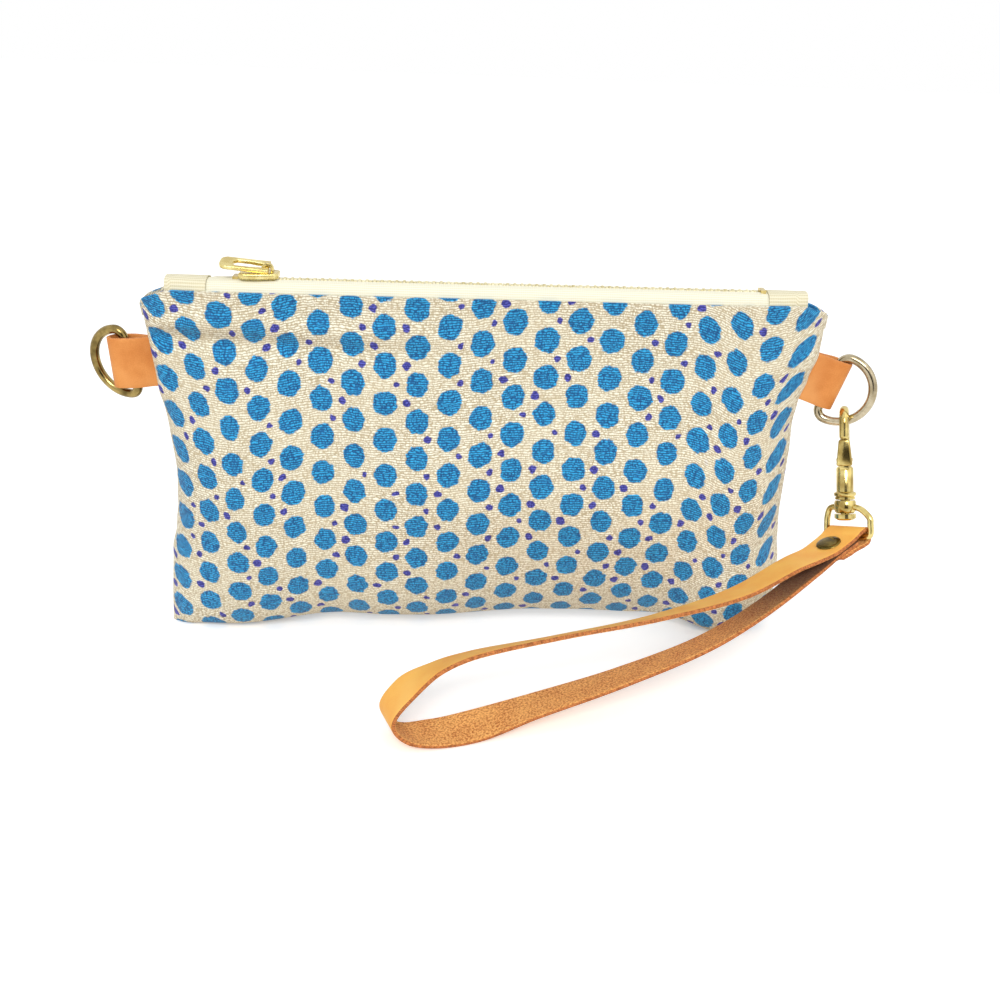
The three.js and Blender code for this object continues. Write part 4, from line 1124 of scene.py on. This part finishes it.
def in_stack(distance, layer):
    """A place in the three layers, which the rivet squeezes together."""
    apart = STRAP_SKIN + (UPPER_SPACE if layer > 0 else TAIL_SPACE - 0.4 * smooth(distance, 8, 11.5))
    squeezed = FOLD_RADIUS + (apart - FOLD_RADIUS) * smooth(distance, 1, 6)
    return FOLD.translation + LEAD * distance + UP * (layer * squeezed)


def strap_line():
    """Places along the strap and the direction of its width at each."""
    stations = [(in_stack(s, 0), ACROSS) for s in (FOLD_RADIUS * 1.5, RIVET_FROM_BAR, STACK_LENGTH)]
    for place, width in LOOP:
        stations.append((BAR + Vector(place), Vector(width).normalized()))
    stations += [(in_stack(s, 1), ACROSS) for s in (STACK_LENGTH, RIVET_FROM_BAR, 4, 2)]
    places = through([place for place, _ in stations], 9)
    # A hair's difference keeps equal neighbours apart, because the curve divides by their distance.
    widths = through([width + Vector((0, 0, i * 1e-6)) for i, (_, width) in enumerate(stations)], 9)
    line = list(zip(places, [width.normalized() for width in widths]))
    for i in range(FOLD_STEPS + 1):
        a = math.pi * i / FOLD_STEPS
        bend = (UP * math.cos(a) - OUT * math.sin(a)) * FOLD_RADIUS
        line.append((FOLD.translation + bend, ACROSS))
    for s in (2, 4, 6, 8, 10, STACK_LENGTH - STRAP_LEATHER):
        line.append((in_stack(s, -1), ACROSS))
    return line


def wrist_strap():
    line = strap_line()
    run = [0]
    for (a, _), (b, _) in zip(line, line[1:]):
        run.append(run[-1] + (b - a).length)

    def place(w, t):
        i = round(t * (len(line) - 1))
        point, width = line[i]
        return point + width * (w * STRAP_WIDTH / 2), Vector((run[i], w * STRAP_WIDTH / 2, 0))

    piece = sheet("leather_wrist_strap", 10, len(line) - 1, place)
    on_upper_run = BAR + Vector(LOOP[-4][0])
    face_to(piece, Vector((0, 0, 1)), on_upper_run)
    for paint in (STRAP_GRAIN, STRAP_FLESH, STRAP_EDGE):
        piece.data.materials.append(paint)
    modify(
        piece, "SOLIDIFY", thickness=STRAP_SKIN, offset=0, material_offset=1, material_offset_rim=2,
        use_even_offset=True,
    )
    ease_edges(piece, 0.4, 3, 60)
    return settle(piece)


RIVET = Matrix((
    (-OUT.x, -ACROSS.x, UP.x, 0), (-OUT.y, -ACROSS.y, UP.y, 0), (-OUT.z, -ACROSS.z, UP.z, 0), (0, 0, 0, 1)
))
RIVET.translation = in_stack(RIVET_FROM_BAR, 0)


def rivet_half(name, sign):
    low = STRAP_SKIN * 1.5 + (0.2 if sign > 0 else 0.53)
    r = RIVET_RADIUS
    h = RIVET_HEIGHT
    dome = [
        (0, low - 0.3), (1.4, low - 0.3), (1.5, low), (r * 0.94, low), (r, low + h * 0.12),
        (r * 0.985, low + h * 0.3), (r * 0.9, low + h * 0.52), (r * 0.72, low + h * 0.74),
        (r * 0.45, low + h * 0.91), (r * 0.2, low + h * 0.985), (0, low + h),
    ]
    piece = turned(name, [(radius, sign * height) for radius, height in dome], 48)
    return settle(piece, RIVET)


dress(wrist_strap(), STRAP_GRAIN, "strap_leather", "strap", "wrist_strap")
dress(rivet_half("rivet_head", 1), DARK_BRASS, "brass", "strap", "rivet_cap")
dress(rivet_half("rivet_back", -1), DARK_BRASS, "brass", "strap", "rivet_base")

# Small fittings whose solids are right as they are.
for node, paint in (
    ("front_top_stop", BRASS), ("back_top_stop", BRASS), ("bottom_stop", BRASS), ("gate_pin", BRASS),
    ("gate_spring", STEEL), ("swivel_stud", BRASS),
):
    piece = frame["nodes"][node]
    piece.data.materials.clear()
    piece.data.materials.append(paint)


# Camera, floor and light.
CAMERA_PLACE = (-9.2, -298.4, 188)
CAMERA_YAW = math.radians(3)
CAMERA_PITCH = math.radians(25.28)
CAMERA_ROLL = math.radians(2.23)
SENSOR_WIDTH = 36
LENS_PER_WIDTH = 1.006
FLOOR_WHITE = (1, 1, 1, 1)
FLOOR_BOUNCE = (0.76, 0.66, 0.56, 1)
FLOOR_GLOW = (0.22, 0.22, 0.22, 1)
NO_GLOW = (0, 0, 0, 1)
CARD_PLACE = (-0.1, -1.3, 0.5)
CARD_SIZE = (0.9, 0.8, 1, 1)
STUDIO_LIGHT = 0.6


def camera():
    yaw, pitch, roll = CAMERA_YAW, CAMERA_PITCH, CAMERA_ROLL
    ahead = Vector((math.sin(yaw) * math.cos(pitch), math.cos(yaw) * math.cos(pitch), -math.sin(pitch)))
    level = Vector((math.cos(yaw), -math.sin(yaw), 0))
    upright = level.cross(ahead)
    right = level * math.cos(roll) + upright * math.sin(roll)
    top = upright * math.cos(roll) - level * math.sin(roll)
    data = bpy.data.cameras.new("camera")
    data.lens = SENSOR_WIDTH * LENS_PER_WIDTH
    data.sensor_width = SENSOR_WIDTH
    data.clip_start = 0.01
    made = bpy.data.objects.new("camera", data)
    turned_to = Matrix((right, top, -ahead)).transposed().to_4x4()
    made.matrix_world = Matrix.Translation(Vector(CAMERA_PLACE) * MM) @ turned_to
    bpy.context.scene.collection.objects.link(made)
    bpy.context.scene.camera = made


def floor():
    """A white floor that keeps the shadow. The light it sends back is a little warm."""
    clear_selection()
    bpy.ops.mesh.primitive_plane_add(size=8)
    made = named("floor")
    paint = Paint("white_floor")
    seen = [paint.node("ShaderNodeLightPath", {}, (), name) for name in ("Is Camera Ray", "Is Glossy Ray")]
    shown = (seen[0] + seen[1]).step(0.0, 0.5)
    paint.set(Base_Color=paint.mix(shown, FLOOR_BOUNCE, FLOOR_WHITE), Roughness=1.0)
    paint.set(Emission_Color=paint.mix(shown, NO_GLOW, FLOOR_GLOW), Emission_Strength=1.0)
    paint.shader.inputs["Specular IOR Level"].default_value = 0
    made.data.materials.append(paint.material)


def dark_card():
    """A dark board behind the camera that only the polished metal sees."""
    clear_selection()
    bpy.ops.mesh.primitive_plane_add(size=1)
    made = named("dark_card")
    made.data.transform(Matrix.Translation(CARD_PLACE) @ turn(80, "X") @ Matrix.Diagonal(CARD_SIZE))
    for ray in ("camera", "diffuse", "transmission", "volume_scatter", "shadow"):
        setattr(made, f"visible_{ray}", False)
    paint = Paint("dark_card")
    paint.set(Base_Color=(0.03, 0.025, 0.02, 1), Roughness=1.0)
    made.data.materials.append(paint.material)


def sun(name, way, strength, spread):
    data = bpy.data.lights.new(name, "SUN")
    data.energy = strength
    data.angle = math.radians(spread)
    made = bpy.data.objects.new(name, data)
    made.rotation_mode = "QUATERNION"
    made.rotation_quaternion = Vector(way).to_track_quat("-Z", "Y")
    bpy.context.scene.collection.objects.link(made)


def world():
    """Plain soft light, white wherever the camera or polished metal sees it."""
    made = bpy.data.worlds.new("studio")
    made.use_nodes = True
    tree = made.node_tree
    plain = tree.nodes["Background"]
    plain.inputs["Color"].default_value = (1, 1, 1, 1)
    plain.inputs["Strength"].default_value = STUDIO_LIGHT
    white = tree.nodes.new("ShaderNodeBackground")
    white.inputs["Color"].default_value = (1, 1, 1, 1)
    white.inputs["Strength"].default_value = 1.0
    seen = tree.nodes.new("ShaderNodeLightPath")
    shown = seen.outputs["Is Camera Ray"]
    for ray in ("Is Glossy Ray", "Is Transmission Ray"):
        either = tree.nodes.new("ShaderNodeMath")
        either.operation = "MAXIMUM"
        tree.links.new(shown, either.inputs[0])
        tree.links.new(seen.outputs[ray], either.inputs[1])
        shown = either.outputs[0]
    mixed = tree.nodes.new("ShaderNodeMixShader")
    tree.links.new(shown, mixed.inputs[0])
    tree.links.new(plain.outputs[0], mixed.inputs[1])
    tree.links.new(white.outputs[0], mixed.inputs[2])
    tree.links.new(mixed.outputs[0], tree.nodes["World Output"].inputs["Surface"])
    bpy.context.scene.world = made


camera()
floor()
dark_card()
world()
sun("key", way=(0.08, 0.74, -0.66), strength=1.72, spread=25)
sun("fill", way=(-0.6, 0.4, -0.7), strength=0.42, spread=60)
bpy.context.scene.view_settings.view_transform = "Standard"
